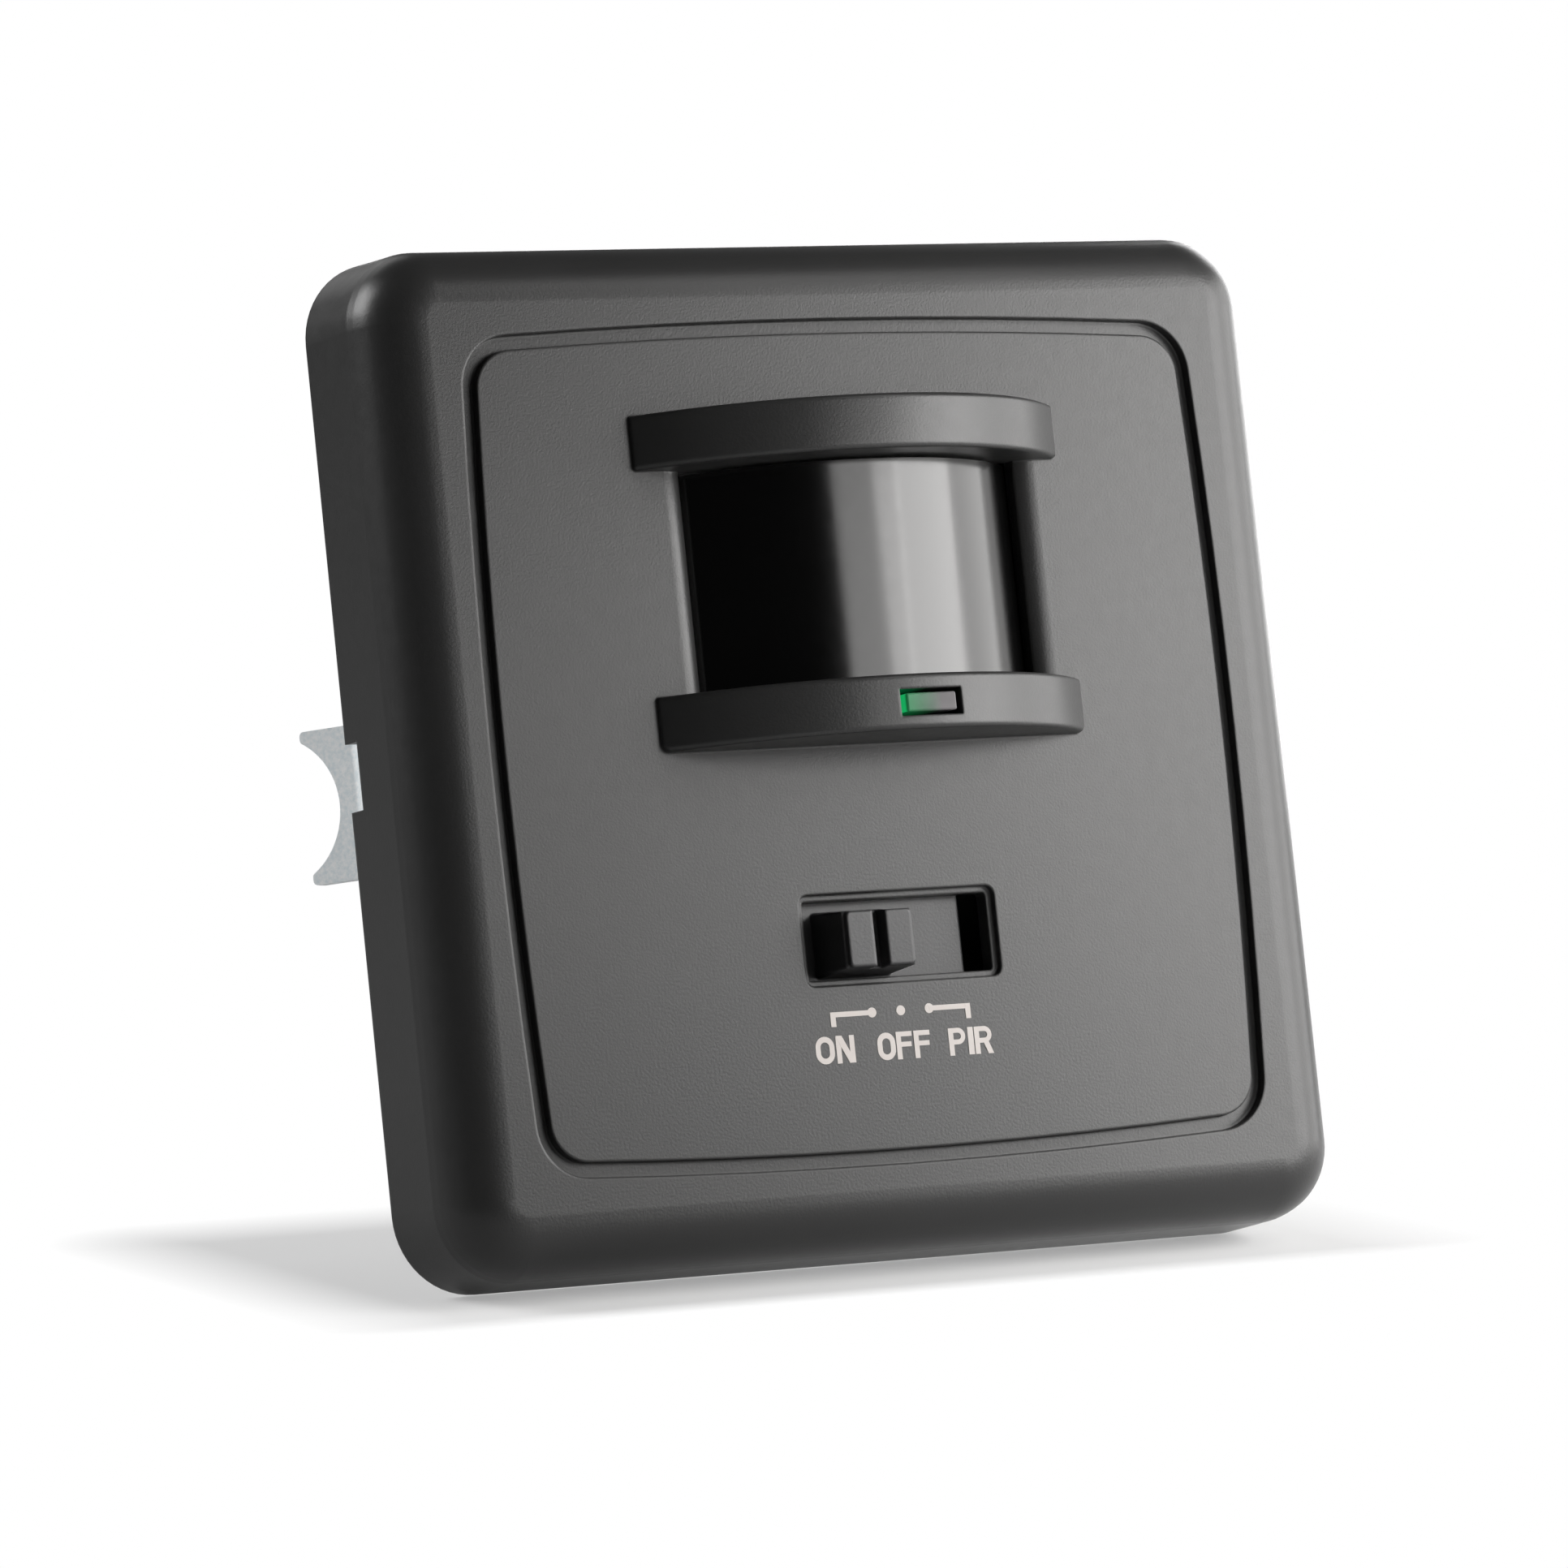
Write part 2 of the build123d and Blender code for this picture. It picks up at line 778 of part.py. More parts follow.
# Mounting plate: pressed sheet with the body window, the box screw slots and four snap ears
window_side = body_side + 2 * plate_window_gap
tongue_start = channel_floor + plate_window_gap
with BuildPart() as mounting_plate:
    with BuildSketch(ahead(0)):
        RectangleRounded(plate_width, plate_height, plate_corner)
        with BuildSketch(mode=Mode.SUBTRACT):
            Circle(body_radius + plate_window_gap)
            Rectangle(window_side, window_side, mode=Mode.INTERSECT)
            for side in (-1, 1):
                with Locations((side * tongue_start, claw_rise)):
                    Rectangle(
                        body_radius,
                        2 * (channel_half - plate_window_gap),
                        align=(Align.MIN if side > 0 else Align.MAX, Align.CENTER),
                        mode=Mode.SUBTRACT,
                    )
        with Locations(*[(side * claw_screw_x, claw_rise) for side in (-1, 1)]):
            Circle(claw_screw_radius + claw_screw_gap, mode=Mode.SUBTRACT)
        with Locations((0, box_slot_z), (0, -box_slot_z), (box_slot_x, 0), (-box_slot_x, 0)):
            SlotOverall(box_slot_length, 2 * box_slot_radius, rotation=90, mode=Mode.SUBTRACT)
        with Locations(*corner_places(stud_place, stud_place)):
            Circle(stud_radius + stud_gap, mode=Mode.SUBTRACT)
        # Relief nicks beside the ears
        for side in (-1, 1):
            for edge in (-1, 1):
                nick_x = side * ear_shift + edge * (ear_width + ear_relief) / 2
                with Locations(*[(nick_x, level * plate_height / 2) for level in (-1, 1)]):
                    Rectangle(ear_relief, 2 * ear_relief_deep, mode=Mode.SUBTRACT)
    extrude(amount=plate_thick)
    # Countersinks behind for the swaged studs of the housing
    with BuildSketch(ahead(stud_flare_deep)):
        with Locations(*corner_places(stud_place, stud_place)):
            Circle(stud_radius + stud_gap)
    extrude(amount=-(stud_flare_deep + stud_gap), taper=-stud_flare, mode=Mode.SUBTRACT)
    # Ears stand up from the top and bottom edges
    for ear_foot in (-plate_height / 2, plate_height / 2 - plate_thick):
        for side in (-1, 1):
            with BuildSketch(Plane.XY.offset(ear_foot)):
                with Locations((side * ear_shift, 0)):
                    Rectangle(ear_width, ear_top, align=(Align.CENTER, Align.MAX))
                with Locations((side * ear_shift, -latch_middle)):
                    Rectangle(
                        ear_window_width, ear_window_high - ear_window_low, mode=Mode.SUBTRACT
                    )
            extrude(amount=plate_thick)
    ear_tips = mounting_plate.edges().filter_by(Axis.Z).group_by(Axis.Y)[0]
    fillet(ear_tips, ear_corner)
finish("mounting_plate", mounting_plate)

# Rear housing: a tub for the wall box with two side channels for the claws
with BuildPart() as rear_housing:
    with BuildSketch(ahead(-body_deep)):
        Circle(body_radius)
        Rectangle(body_side, body_side, mode=Mode.INTERSECT)
        for side in (-1, 1):
            with Locations((side * channel_floor, claw_rise)):
                Rectangle(
                    body_radius,
                    2 * channel_half,
                    align=(Align.MIN if side > 0 else Align.MAX, Align.CENTER),
                    mode=Mode.SUBTRACT,
                )
    extrude(amount=body_deep + plate_thick)
    chamfer(rear_housing.faces().sort_by(Axis.Y)[-1].outer_wire().edges(), body_rim_chamfer)
    with BuildSketch(ahead(plate_thick)):
        RectangleRounded(flange_side, flange_side, flange_corner)
    extrude(amount=flange_thick)
    with BuildSketch(ahead(body_inside)):
        Circle(body_radius - body_wall)
        inside = body_side - 2 * body_wall
        Rectangle(inside, inside, mode=Mode.INTERSECT)
        for side in (-1, 1):
            with Locations((side * (channel_floor - body_wall), claw_rise)):
                Rectangle(
                    body_radius,
                    2 * (channel_half + body_wall),
                    align=(Align.MIN if side > 0 else Align.MAX, Align.CENTER),
                    mode=Mode.SUBTRACT,
                )
    extrude(amount=flange_front + overrun - body_inside, mode=Mode.SUBTRACT)
    # Bosses that carry the sensor board
    with BuildSketch(ahead(body_inside)):
        with Locations(*corner_places(boss_x, boss_z)):
            Circle(boss_radius)
    extrude(amount=board_back - seat_gap - body_inside)
    with BuildSketch(ahead(board_back - seat_gap)):
        with Locations(*corner_places(boss_x, boss_z)):
            Circle(boss_hole)
    extrude(amount=-boss_hole_deep, mode=Mode.SUBTRACT)
    # Pads under the power board
    with BuildSketch(ahead(body_inside)):
        with Locations(*[(side * pad_x, level) for side in (-1, 1) for level in (pad_low, pad_high)]):
            Rectangle(pad_side, pad_side)
    extrude(amount=power_back - seat_gap - body_inside)
    # Shelves that catch the inner end of each claw
    shelf_front = claw_tab_depth - shelf_gap
    shelf_rear = claw_tab_depth + claw_thick + shelf_gap
    for side in (-1, 1):
        for start in (-shelf_front, -(shelf_rear + shelf_thick)):
            with BuildSketch(ahead(start)):
                with Locations((side * channel_floor, claw_rise)):
                    Rectangle(2 * shelf_reach, 2 * shelf_half)
            extrude(amount=shelf_thick)
    # Holes in the flange for the claw screws
    with BuildSketch(ahead(flange_front)):
        with Locations(*[(side * claw_screw_x, claw_rise) for side in (-1, 1)]):
            Circle(claw_screw_radius + claw_screw_gap)
    extrude(amount=-(flange_thick + overrun), mode=Mode.SUBTRACT)
    # Flared wire entries behind and screwdriver holes below
    with BuildSketch(ahead(body_inside)):
        with Locations(*[(x, wire_rise) for x in pole_places]):
            Circle(wire_entry)
    extrude(amount=-(body_floor + overrun), mode=Mode.SUBTRACT)
    entries = rear_housing.faces().sort_by(Axis.Y)[-1].inner_wires().edges()
    chamfer(entries, wire_entry_flare)
    with BuildSketch(Plane.XY.offset(-body_side / 2 - overrun)):
        with Locations(*[(x, -clamp_middle) for x in pole_places]):
            Circle(terminal_access)
    extrude(amount=body_wall + 2 * overrun, mode=Mode.SUBTRACT)
    # Studs swaged into the countersinks of the mounting plate
    with BuildSketch(ahead(plate_thick)):
        with Locations(*corner_places(stud_place, stud_place)):
            Circle(stud_radius)
    extrude(amount=-(plate_thick - stud_flush))
    with BuildSketch(ahead(stud_flare_deep)):
        with Locations(*corner_places(stud_place, stud_place)):
            Circle(stud_radius)
    extrude(amount=-(stud_flare_deep - stud_flush), taper=-stud_flare)
finish("rear_housing", rear_housing)

# Inner cover over the electronics, with board posts, a framed view and holes for pipe, stem and dials
with BuildPart() as inner_cover:
    with BuildSketch(ahead(flange_front)):
        RectangleRounded(inner_width, inner_height, inner_corner)
        for side in (-1, 1):
            with Locations((side * inner_notch_start, claw_rise)):
                Rectangle(
                    inner_width,
                    2 * inner_notch_half,
                    align=(Align.MIN if side > 0 else Align.MAX, Align.CENTER),
                    mode=Mode.SUBTRACT,
                )
    extrude(amount=inner_thick)
    view_middle = (view_low + view_high) / 2
    with BuildSketch(ahead(inner_front)):
        with Locations((lens_shift, view_middle)):
            Rectangle(2 * (view_half + view_rim), view_high - view_low + 2 * view_rim)
    extrude(amount=view_rim_rise)
    with BuildSketch(ahead(flange_front)):
        with Locations(*corner_places(boss_x, boss_z)):
            Circle(post_radius)
    extrude(amount=-(flange_front - board_face - seat_gap))
    with BuildSketch(ahead(board_face)):
        with Locations(*corner_places(boss_x, boss_z)):
            Circle(case_screw_radius + case_hole_gap)
        with Locations((lens_shift, view_middle)):
            Rectangle(2 * view_half, view_high - view_low)
        with Locations((led_shift, led_rise)):
            Rectangle(pipe_width + 2 * pipe_hole_gap, pipe_height + 2 * pipe_hole_gap)
        with Locations((mode_x, knob_z)):
            Rectangle(
                stem_width + knob_travel + 2 * stem_slot_gap, stem_height + 2 * stem_slot_gap
            )
        with Locations((trimmer_x, trimmer_z), (-trimmer_x, trimmer_z)):
            Circle(dial_radius + dial_hole_gap)
    extrude(amount=inner_front + view_rim_rise + overrun - board_face, mode=Mode.SUBTRACT)
finish("inner_cover", inner_cover)

# Screws of the inner cover, which also hold the sensor board
with BuildPart() as case_screws:
    with BuildSketch(ahead(inner_front)):
        with Locations(*corner_places(boss_x, boss_z)):
            Circle(case_screw_head)
    extrude(amount=case_screw_head_high)
    chamfer(case_screws.edges().group_by(Axis.Y)[0], head_round)
    with BuildSketch(ahead(inner_front + case_screw_head_high)):
        with Locations(*corner_places(boss_x, boss_z)):
            Rectangle(case_screw_head + driver_slot_width, driver_slot_width)
            Rectangle(driver_slot_width, case_screw_head + driver_slot_width)
    extrude(amount=-driver_slot_deep, mode=Mode.SUBTRACT)
    with BuildSketch(ahead(inner_front)):
        with Locations(*corner_places(boss_x, boss_z)):
            Circle(case_screw_radius)
    extrude(amount=case_screw_end - inner_front)
finish("case_screws", case_screws)

# Spreader claw on the right: a bent tab and arm with a two-pointed, splayed end
with BuildPart() as claw_right:
    with BuildSketch(Plane.XY.offset(claw_rise - claw_height / 2)) as claw_plan:
        with BuildLine():
            Polyline(
                (claw_pivot, claw_tab_depth),
                (claw_arm, claw_tab_depth),
                (claw_arm, claw_knee),
                (claw_tip, claw_tip_depth),
                (claw_tip - claw_thick * splay_cos, claw_tip_depth + claw_thick * splay_sin),
                (claw_arm - claw_thick, claw_inner_knee),
                (claw_arm - claw_thick, claw_tab_depth + claw_thick),
                (claw_pivot, claw_tab_depth + claw_thick),
                close=True,
            )
        make_face()
        for corner, radius in (
            ((claw_arm, claw_tab_depth), claw_bend + claw_thick),
            ((claw_arm - claw_thick, claw_tab_depth + claw_thick), claw_bend),
            ((claw_arm, claw_knee), claw_bend),
            ((claw_arm - claw_thick, claw_inner_knee), claw_bend + claw_thick),
        ):
            fillet(claw_plan.vertices().sort_by_distance(corner)[0], radius)
    extrude(amount=claw_height)
    # The tab is narrower than the arm
    with BuildSketch(Plane.YZ):
        for side in (-1, 1):
            with Locations((claw_tab_depth - overrun, claw_rise + side * claw_tab_height / 2)):
                Rectangle(
                    claw_neck + claw_thick + overrun,
                    claw_height,
                    align=(Align.MIN, Align.MIN if side > 0 else Align.MAX),
                )
    extrude(amount=2 * claw_arm, mode=Mode.SUBTRACT)
    # Round bite between the two points
    bite_plane = Plane(
        origin=(
            claw_tip + bite_beyond * splay_sin,
            claw_tip_depth + bite_beyond * splay_cos,
            claw_rise,
        ),
        x_dir=(0, 0, 1),
        z_dir=(splay_cos, -splay_sin, 0),
    )
    with BuildSketch(bite_plane):
        Circle(bite_radius)
    extrude(amount=2 * claw_thick, both=True, mode=Mode.SUBTRACT)
    # Each point has a blunt, rounded nose
    across_sheet = Axis((0, 0, 0), (splay_cos, -splay_sin, 0))
    nose_edges = claw_right.edges().filter_by(across_sheet).filter_by(GeomType.LINE)
    noses = [
        (claw_tip, claw_tip_depth, claw_rise + side * reach)
        for side in (-1, 1)
        for reach in (claw_height / 2, claw_bite_half)
    ]
    fillet([nose_edges.sort_by_distance(place)[0] for place in noses], claw_tip_round)
    # Clearance hole for the claw screw
    with BuildSketch(ahead(-claw_tab_depth + overrun)):
        with Locations((claw_screw_x, claw_rise)):
            Circle(claw_screw_radius + claw_hole_play)
    extrude(amount=-(claw_thick + 2 * overrun), mode=Mode.SUBTRACT)
finish("claw_right", claw_right)

with BuildPart() as claw_left:
    add(mirror(claw_right.part, about=Plane.YZ))
finish("claw_left", claw_left)

# Screws that draw the claws outward
for side, name in ((-1, "claw_screw_left"), (1, "claw_screw_right")):
    head_seat = flange_front + head_gap
    with BuildPart() as claw_screw:
        with BuildSketch(ahead(head_seat)):
            with Locations((side * claw_screw_x, claw_rise)):
                Circle(claw_screw_head)
        extrude(amount=claw_screw_head_high)
        chamfer(claw_screw.edges().group_by(Axis.Y)[0], head_round)
        with BuildSketch(ahead(head_seat + claw_screw_head_high)):
            with Locations((side * claw_screw_x, claw_rise)):
                Rectangle(2 * claw_screw_head, driver_slot_width)
        extrude(amount=-driver_slot_deep, mode=Mode.SUBTRACT)
        with BuildSketch(ahead(head_seat)):
            with Locations((side * claw_screw_x, claw_rise)):
                Circle(claw_screw_radius)
        extrude(amount=-(head_seat + claw_screw_end))
        chamfer(claw_screw.edges().group_by(Axis.Y)[-1], screw_point)
    finish(name, claw_screw)

# Places of the leads that pass through the sensor board
pyro_leads = [
    (lens_shift + x * lead_circle / 2, pyro_rise + z * lead_circle / 2)
    for x, z in ((-1, 0), (1, 0), (0, -1))
]
light_leads = [(light_sensor_x, light_sensor_z + side * light_lead_half) for side in (-1, 1)]
lamp_leads = [(led_shift + side * lamp_lead_half, led_rise) for side in (-1, 1)]
mode_pins = [
    (mode_x + (n - (mode_pin_columns - 1) / 2) * mode_pin_pitch, knob_z + side * mode_pin_rows)
    for n in range(mode_pin_columns)
    for side in (-1, 1)
]
trimmer_places = [(side * trimmer_x, trimmer_z) for side in (-1, 1)]
trimmer_pins = [
    (x + across * trimmer_pin_half, z + up * trimmer_pin_half)
    for x, z in trimmer_places
    for across, up in ((-1, -1), (1, -1), (0, 1))
]
link_places = [(link_x, link_z + (n - (link_pins - 1) / 2) * link_spacing) for n in range(link_pins)]

# Places of the pins that pass through the power board
relay_pins = [
    (relay_x + across * relay_pin_half, relay_z + up * relay_pin_rise)
    for across, up in ((-1, -1), (-1, 1), (1, -1), (1, 1), (1, 0))
]
film_pins = [(film_x + side * film_pin_half, film_z) for side in (-1, 1)]
can_pins = [(can_x + side * can_pin_half, can_z) for side in (-1, 1)]
varistor_pins = [(varistor_x, varistor_z + side * varistor_pin_half) for side in (-1, 1)]
fuse_pins = [(fuse_x + side * (fuse_half - fuse_cap / 2), fuse_z) for side in (-1, 1)]

# Sensor board
with BuildPart() as sensor_board:
    with BuildSketch(ahead(board_back)):
        RectangleRounded(board_width, board_height, board_corner)
        with Locations(*corner_places(boss_x, boss_z)):
            Circle(case_screw_radius + case_hole_gap, mode=Mode.SUBTRACT)
        with Locations(*(pyro_leads + light_leads + lamp_leads + mode_pins + trimmer_pins)):
            RegularPolygon(lead_radius + lead_gap, lead_sides, mode=Mode.SUBTRACT)
        with Locations(*link_places):
            RegularPolygon(link_radius + lead_gap, lead_sides, mode=Mode.SUBTRACT)
    extrude(amount=board_thick)
finish("sensor_board", sensor_board)

# Infrared sensor can with an opening, and the filter behind that opening
with BuildPart() as pyro_sensor:
    with BuildSketch(ahead(board_face)):
        with Locations((lens_shift, pyro_rise)):
            Circle(pyro_rim_radius)
    extrude(amount=pyro_rim_high)
    with BuildSketch(ahead(board_face)):
        with Locations((lens_shift, pyro_rise)):
            Circle(pyro_radius)
    extrude(amount=pyro_high)
    chamfer(pyro_sensor.edges().group_by(Axis.Y)[0], pyro_round)
    with BuildSketch(ahead(board_face + pyro_rim_high)):
        with Locations((lens_shift, pyro_rise)):
            Circle(pyro_radius - pyro_cap)
    extrude(amount=pyro_high - pyro_rim_high - pyro_cap, mode=Mode.SUBTRACT)
    with BuildSketch(ahead(board_face + pyro_high)):
        with Locations((lens_shift, pyro_rise)):
            Rectangle(pyro_opening_width, pyro_opening_height)
    extrude(amount=-(pyro_cap + overrun / 2), mode=Mode.SUBTRACT)
    with BuildSketch(ahead(board_face)):
        with Locations(*pyro_leads):
            RegularPolygon(lead_radius, lead_sides)
    extrude(amount=-(board_thick + lead_end))
finish("pyro_sensor", pyro_sensor)

with BuildPart() as pyro_filter:
    with BuildSketch(ahead(board_face + pyro_high - pyro_cap)):
        with Locations((lens_shift, pyro_rise)):
            Rectangle(
                pyro_opening_width + 2 * pyro_filter_margin,
                pyro_opening_height + 2 * pyro_filter_margin,
            )
    extrude(amount=-pyro_filter_thick)
finish("pyro_filter", pyro_filter)

# Light sensor disc with two flats
with BuildPart() as light_sensor:
    with BuildSketch(ahead(board_face)):
        with Locations((light_sensor_x, light_sensor_z)):
            Circle(light_sensor_radius)
            Rectangle(2 * light_sensor_flat, 2 * light_sensor_radius, mode=Mode.INTERSECT)
    extrude(amount=light_sensor_high)
    with BuildSketch(ahead(board_face)):
        with Locations(*light_leads):
            RegularPolygon(lead_radius, lead_sides)
    extrude(amount=-(board_thick + lead_end))
finish("light_sensor", light_sensor)

# Indicator lamp under the light pipe
with BuildPart() as indicator_led:
    with BuildSketch(ahead(board_face)):
        with Locations((led_shift, led_rise)):
            Circle(lamp_rim_radius)
    extrude(amount=lamp_rim_high)
    with BuildSketch(ahead(board_face)):
        with Locations((led_shift, led_rise)):
            Circle(lamp_radius)
    extrude(amount=lamp_high)
    chamfer(indicator_led.edges().group_by(Axis.Y)[0], lamp_radius / 2)
    with BuildSketch(ahead(board_face)):
        with Locations(*lamp_leads):
            RegularPolygon(lead_radius, lead_sides)
    extrude(amount=-(board_thick + lead_end))
finish("indicator_led", indicator_led)

# Cage of the mode switch, its moving lever and its soldered pins
carriage_front = cage_top - mode_cage_wall - mode_gap
with BuildPart() as mode_switch_body:
    with BuildSketch(ahead(board_face)):
        with Locations((mode_x, knob_z)):
            Rectangle(mode_body_width, mode_body_height)
    extrude(amount=mode_body_high)
    with BuildSketch(ahead(carriage_front - mode_carriage_high - mode_gap)):
        with Locations((mode_x, knob_z)):
            Rectangle(
                mode_carriage_width + knob_travel + 2 * mode_gap, mode_carriage_height + 2 * mode_gap
            )
    extrude(amount=mode_carriage_high + 2 * mode_gap, mode=Mode.SUBTRACT)
    with BuildSketch(ahead(cage_top)):
        with Locations((mode_x, knob_z)):
            Rectangle(
                mode_lever_width + knob_travel + 2 * mode_gap, mode_lever_height + 2 * mode_gap
            )
    extrude(amount=-(mode_cage_wall + mode_gap), mode=Mode.SUBTRACT)
finish("mode_switch_body", mode_switch_body)

with BuildPart() as mode_switch_lever:
    with BuildSketch(ahead(carriage_front - mode_carriage_high)):
        with Locations((knob_shift, knob_z)):
            Rectangle(mode_carriage_width, mode_carriage_height)
    extrude(amount=mode_carriage_high)
    with BuildSketch(ahead(carriage_front)):
        with Locations((knob_shift, knob_z)):
            Rectangle(mode_lever_width, mode_lever_height)
    extrude(amount=lever_front - carriage_front)
finish("mode_switch_lever", mode_switch_lever)

with BuildPart() as mode_switch_pins:
    with BuildSketch(ahead(board_face)):
        with Locations(*mode_pins):
            RegularPolygon(lead_radius, lead_sides)
    extrude(amount=-(board_thick + lead_end))
finish("mode_switch_pins", mode_switch_pins)

# Trimmer housings and the two dials that turn in them
with BuildPart() as trimmer_bodies:
    with BuildSketch(ahead(board_face)):
        with Locations(*trimmer_places):
            Rectangle(trimmer_side, trimmer_side)
    extrude(amount=trimmer_high)
    chamfer(trimmer_bodies.edges().group_by(Axis.Y)[0], trimmer_edge)
    with BuildSketch(ahead(board_face + trimmer_high)):
        with Locations(*trimmer_places):
            Circle(trimmer_shaft + trimmer_running_gap)
    extrude(amount=-trimmer_bore_deep, mode=Mode.SUBTRACT)
    with BuildSketch(ahead(board_face)):
        with Locations(*trimmer_pins):
            RegularPolygon(lead_radius, lead_sides)
    extrude(amount=-(board_thick + lead_end))
finish("trimmer_bodies", trimmer_bodies)

for side, name in ((-1, "lux_dial"), (1, "time_dial")):
    shaft_end = board_face + trimmer_high - trimmer_bore_deep + shaft_end_gap
    with BuildPart() as dial:
        with BuildSketch(ahead(dial_low)):
            with Locations((side * trimmer_x, trimmer_z)):
                Circle(dial_radius)
        extrude(amount=dial_high - dial_low)
        chamfer(dial.edges().group_by(Axis.Y)[0], dial_edge)
        with BuildSketch(ahead(dial_high)):
            with Locations((side * trimmer_x, trimmer_z)):
                Rectangle(dial_slot_width, 2 * dial_slot_half)
        extrude(amount=-dial_slot_deep, mode=Mode.SUBTRACT)
        # Pointer nick at the rim
        with BuildSketch(ahead(dial_high)):
            with Locations((side * trimmer_x, trimmer_z + dial_radius)):
                Circle(dial_nick)
        extrude(amount=-dial_slot_deep / 2, mode=Mode.SUBTRACT)
        with BuildSketch(ahead(dial_low)):
            with Locations((side * trimmer_x, trimmer_z)):
                Circle(trimmer_shaft)
        extrude(amount=shaft_end - dial_low)
    finish(name, dial)

# Controller chip and its bent leads
with BuildPart() as controller_chip:
    with BuildSketch(ahead(board_face + chip_stand)):
        with Locations((0, chip_z)):
            Rectangle(chip_width, chip_height)
    extrude(amount=chip_high)
    chamfer(controller_chip.edges().group_by(Axis.Y)[0], chip_edge)
finish("controller_chip", controller_chip)

chip_pin_places = [(n - (chip_pins - 1) / 2) * chip_pin_pitch for n in range(chip_pins)]
with BuildPart() as chip_leads:
    for side in (-1, 1):
        edge = chip_z + side * chip_height / 2
        foot = edge + side * chip_pin_reach
        for x in chip_pin_places:
            with BuildSketch(Plane.YZ.offset(x - chip_pin_width / 2)):
                with BuildLine():
                    Polyline(
                        (-(board_face + chip_pin_high), edge),
                        (-(board_face + chip_pin_high), edge + side * chip_pin_reach / 2),
                        (-(board_face + chip_pin_thick), edge + side * chip_pin_reach / 2),
                        (-(board_face + chip_pin_thick), foot),
                        (-board_face, foot),
                        (-board_face, edge + side * (chip_pin_reach / 2 - chip_pin_thick)),
                        (
                            -(board_face + chip_pin_high - chip_pin_thick),
                            edge + side * (chip_pin_reach / 2 - chip_pin_thick),
                        ),
                        (-(board_face + chip_pin_high - chip_pin_thick), edge),
                        close=True,
                    )
                make_face()
            extrude(amount=chip_pin_width)
finish("chip_leads", chip_leads)

# Header and pins that join the two boards
with BuildPart() as link_header:
    with BuildSketch(ahead(board_back)):
        with Locations((link_x, link_z)):
            Rectangle(link_body, link_pins * link_spacing)
        with Locations(*link_places):
            RegularPolygon(link_radius, lead_sides, mode=Mode.SUBTRACT)
    extrude(amount=-link_body_high)
finish("link_header", link_header)

with BuildPart() as link_pin_row:
    with BuildSketch(ahead(board_face + link_end)):
        with Locations(*link_places):
            RegularPolygon(link_radius, lead_sides)
    extrude(amount=power_back - pin_through - board_face - link_end)
finish("link_pins", link_pin_row)

# Power board
with BuildPart() as power_board:
    with BuildSketch(ahead(power_back)):
        with Locations((0, (power_low + power_high) / 2)):
            RectangleRounded(board_width, power_high - power_low, board_corner)
        with Locations((boss_x, boss_z), (-boss_x, boss_z)):
            Circle(boss_radius + boss_clearance, mode=Mode.SUBTRACT)
        with Locations(*(relay_pins + film_pins + can_pins + varistor_pins + fuse_pins)):
            RegularPolygon(pin_radius + lead_gap, lead_sides, mode=Mode.SUBTRACT)
        with Locations(*link_places):
            RegularPolygon(link_radius + lead_gap, lead_sides, mode=Mode.SUBTRACT)
    extrude(amount=board_thick)
finish("power_board", power_board)

# Relay
with BuildPart() as relay:
    with BuildSketch(ahead(power_face + part_stand)):
        with Locations((relay_x, relay_z)):
            Rectangle(relay_width, relay_height)
    extrude(amount=relay_high)
    chamfer(relay.edges().filter_by(Axis.Y), relay_round)
    chamfer(relay.edges().group_by(Axis.Y)[0], relay_round)
    with BuildSketch(ahead(power_face + part_stand)):
        with Locations(*relay_pins):
            RegularPolygon(pin_radius, lead_sides)
    extrude(amount=-(part_stand + board_thick + pin_through))
finish("relay", relay)

# Film capacitor
with BuildPart() as film_capacitor:
    with BuildSketch(ahead(power_face + part_stand)):
        with Locations((film_x, film_z)):
            Rectangle(film_width, film_height)
    extrude(amount=film_high)
    chamfer(film_capacitor.edges().filter_by(Axis.Y), film_round)
    chamfer(film_capacitor.edges().group_by(Axis.Y)[0], film_round / 2)
    with BuildSketch(ahead(power_face + part_stand)):
        with Locations(*film_pins):
            RegularPolygon(pin_radius, lead_sides)
    extrude(amount=-(part_stand + board_thick + pin_through))
finish("film_capacitor", film_capacitor)

# Electrolytic capacitor with a crimped groove
with BuildPart() as electrolytic_capacitor:
    with BuildSketch(ahead(power_face + part_stand)):
        with Locations((can_x, can_z)):
            Circle(can_radius)
    extrude(amount=can_high)
    chamfer(electrolytic_capacitor.edges().group_by(Axis.Y)[0], can_edge)
    with BuildSketch(ahead(power_face + part_stand + can_groove_rise)):
        with Locations((can_x, can_z)):
            Circle(can_radius + overrun)
            Circle(can_radius - can_groove, mode=Mode.SUBTRACT)
    extrude(amount=can_groove_high, mode=Mode.SUBTRACT)
    with BuildSketch(ahead(power_face + part_stand)):
        with Locations(*can_pins):
            RegularPolygon(pin_radius, lead_sides)
    extrude(amount=-(part_stand + board_thick + pin_through))
finish("electrolytic_capacitor", electrolytic_capacitor)

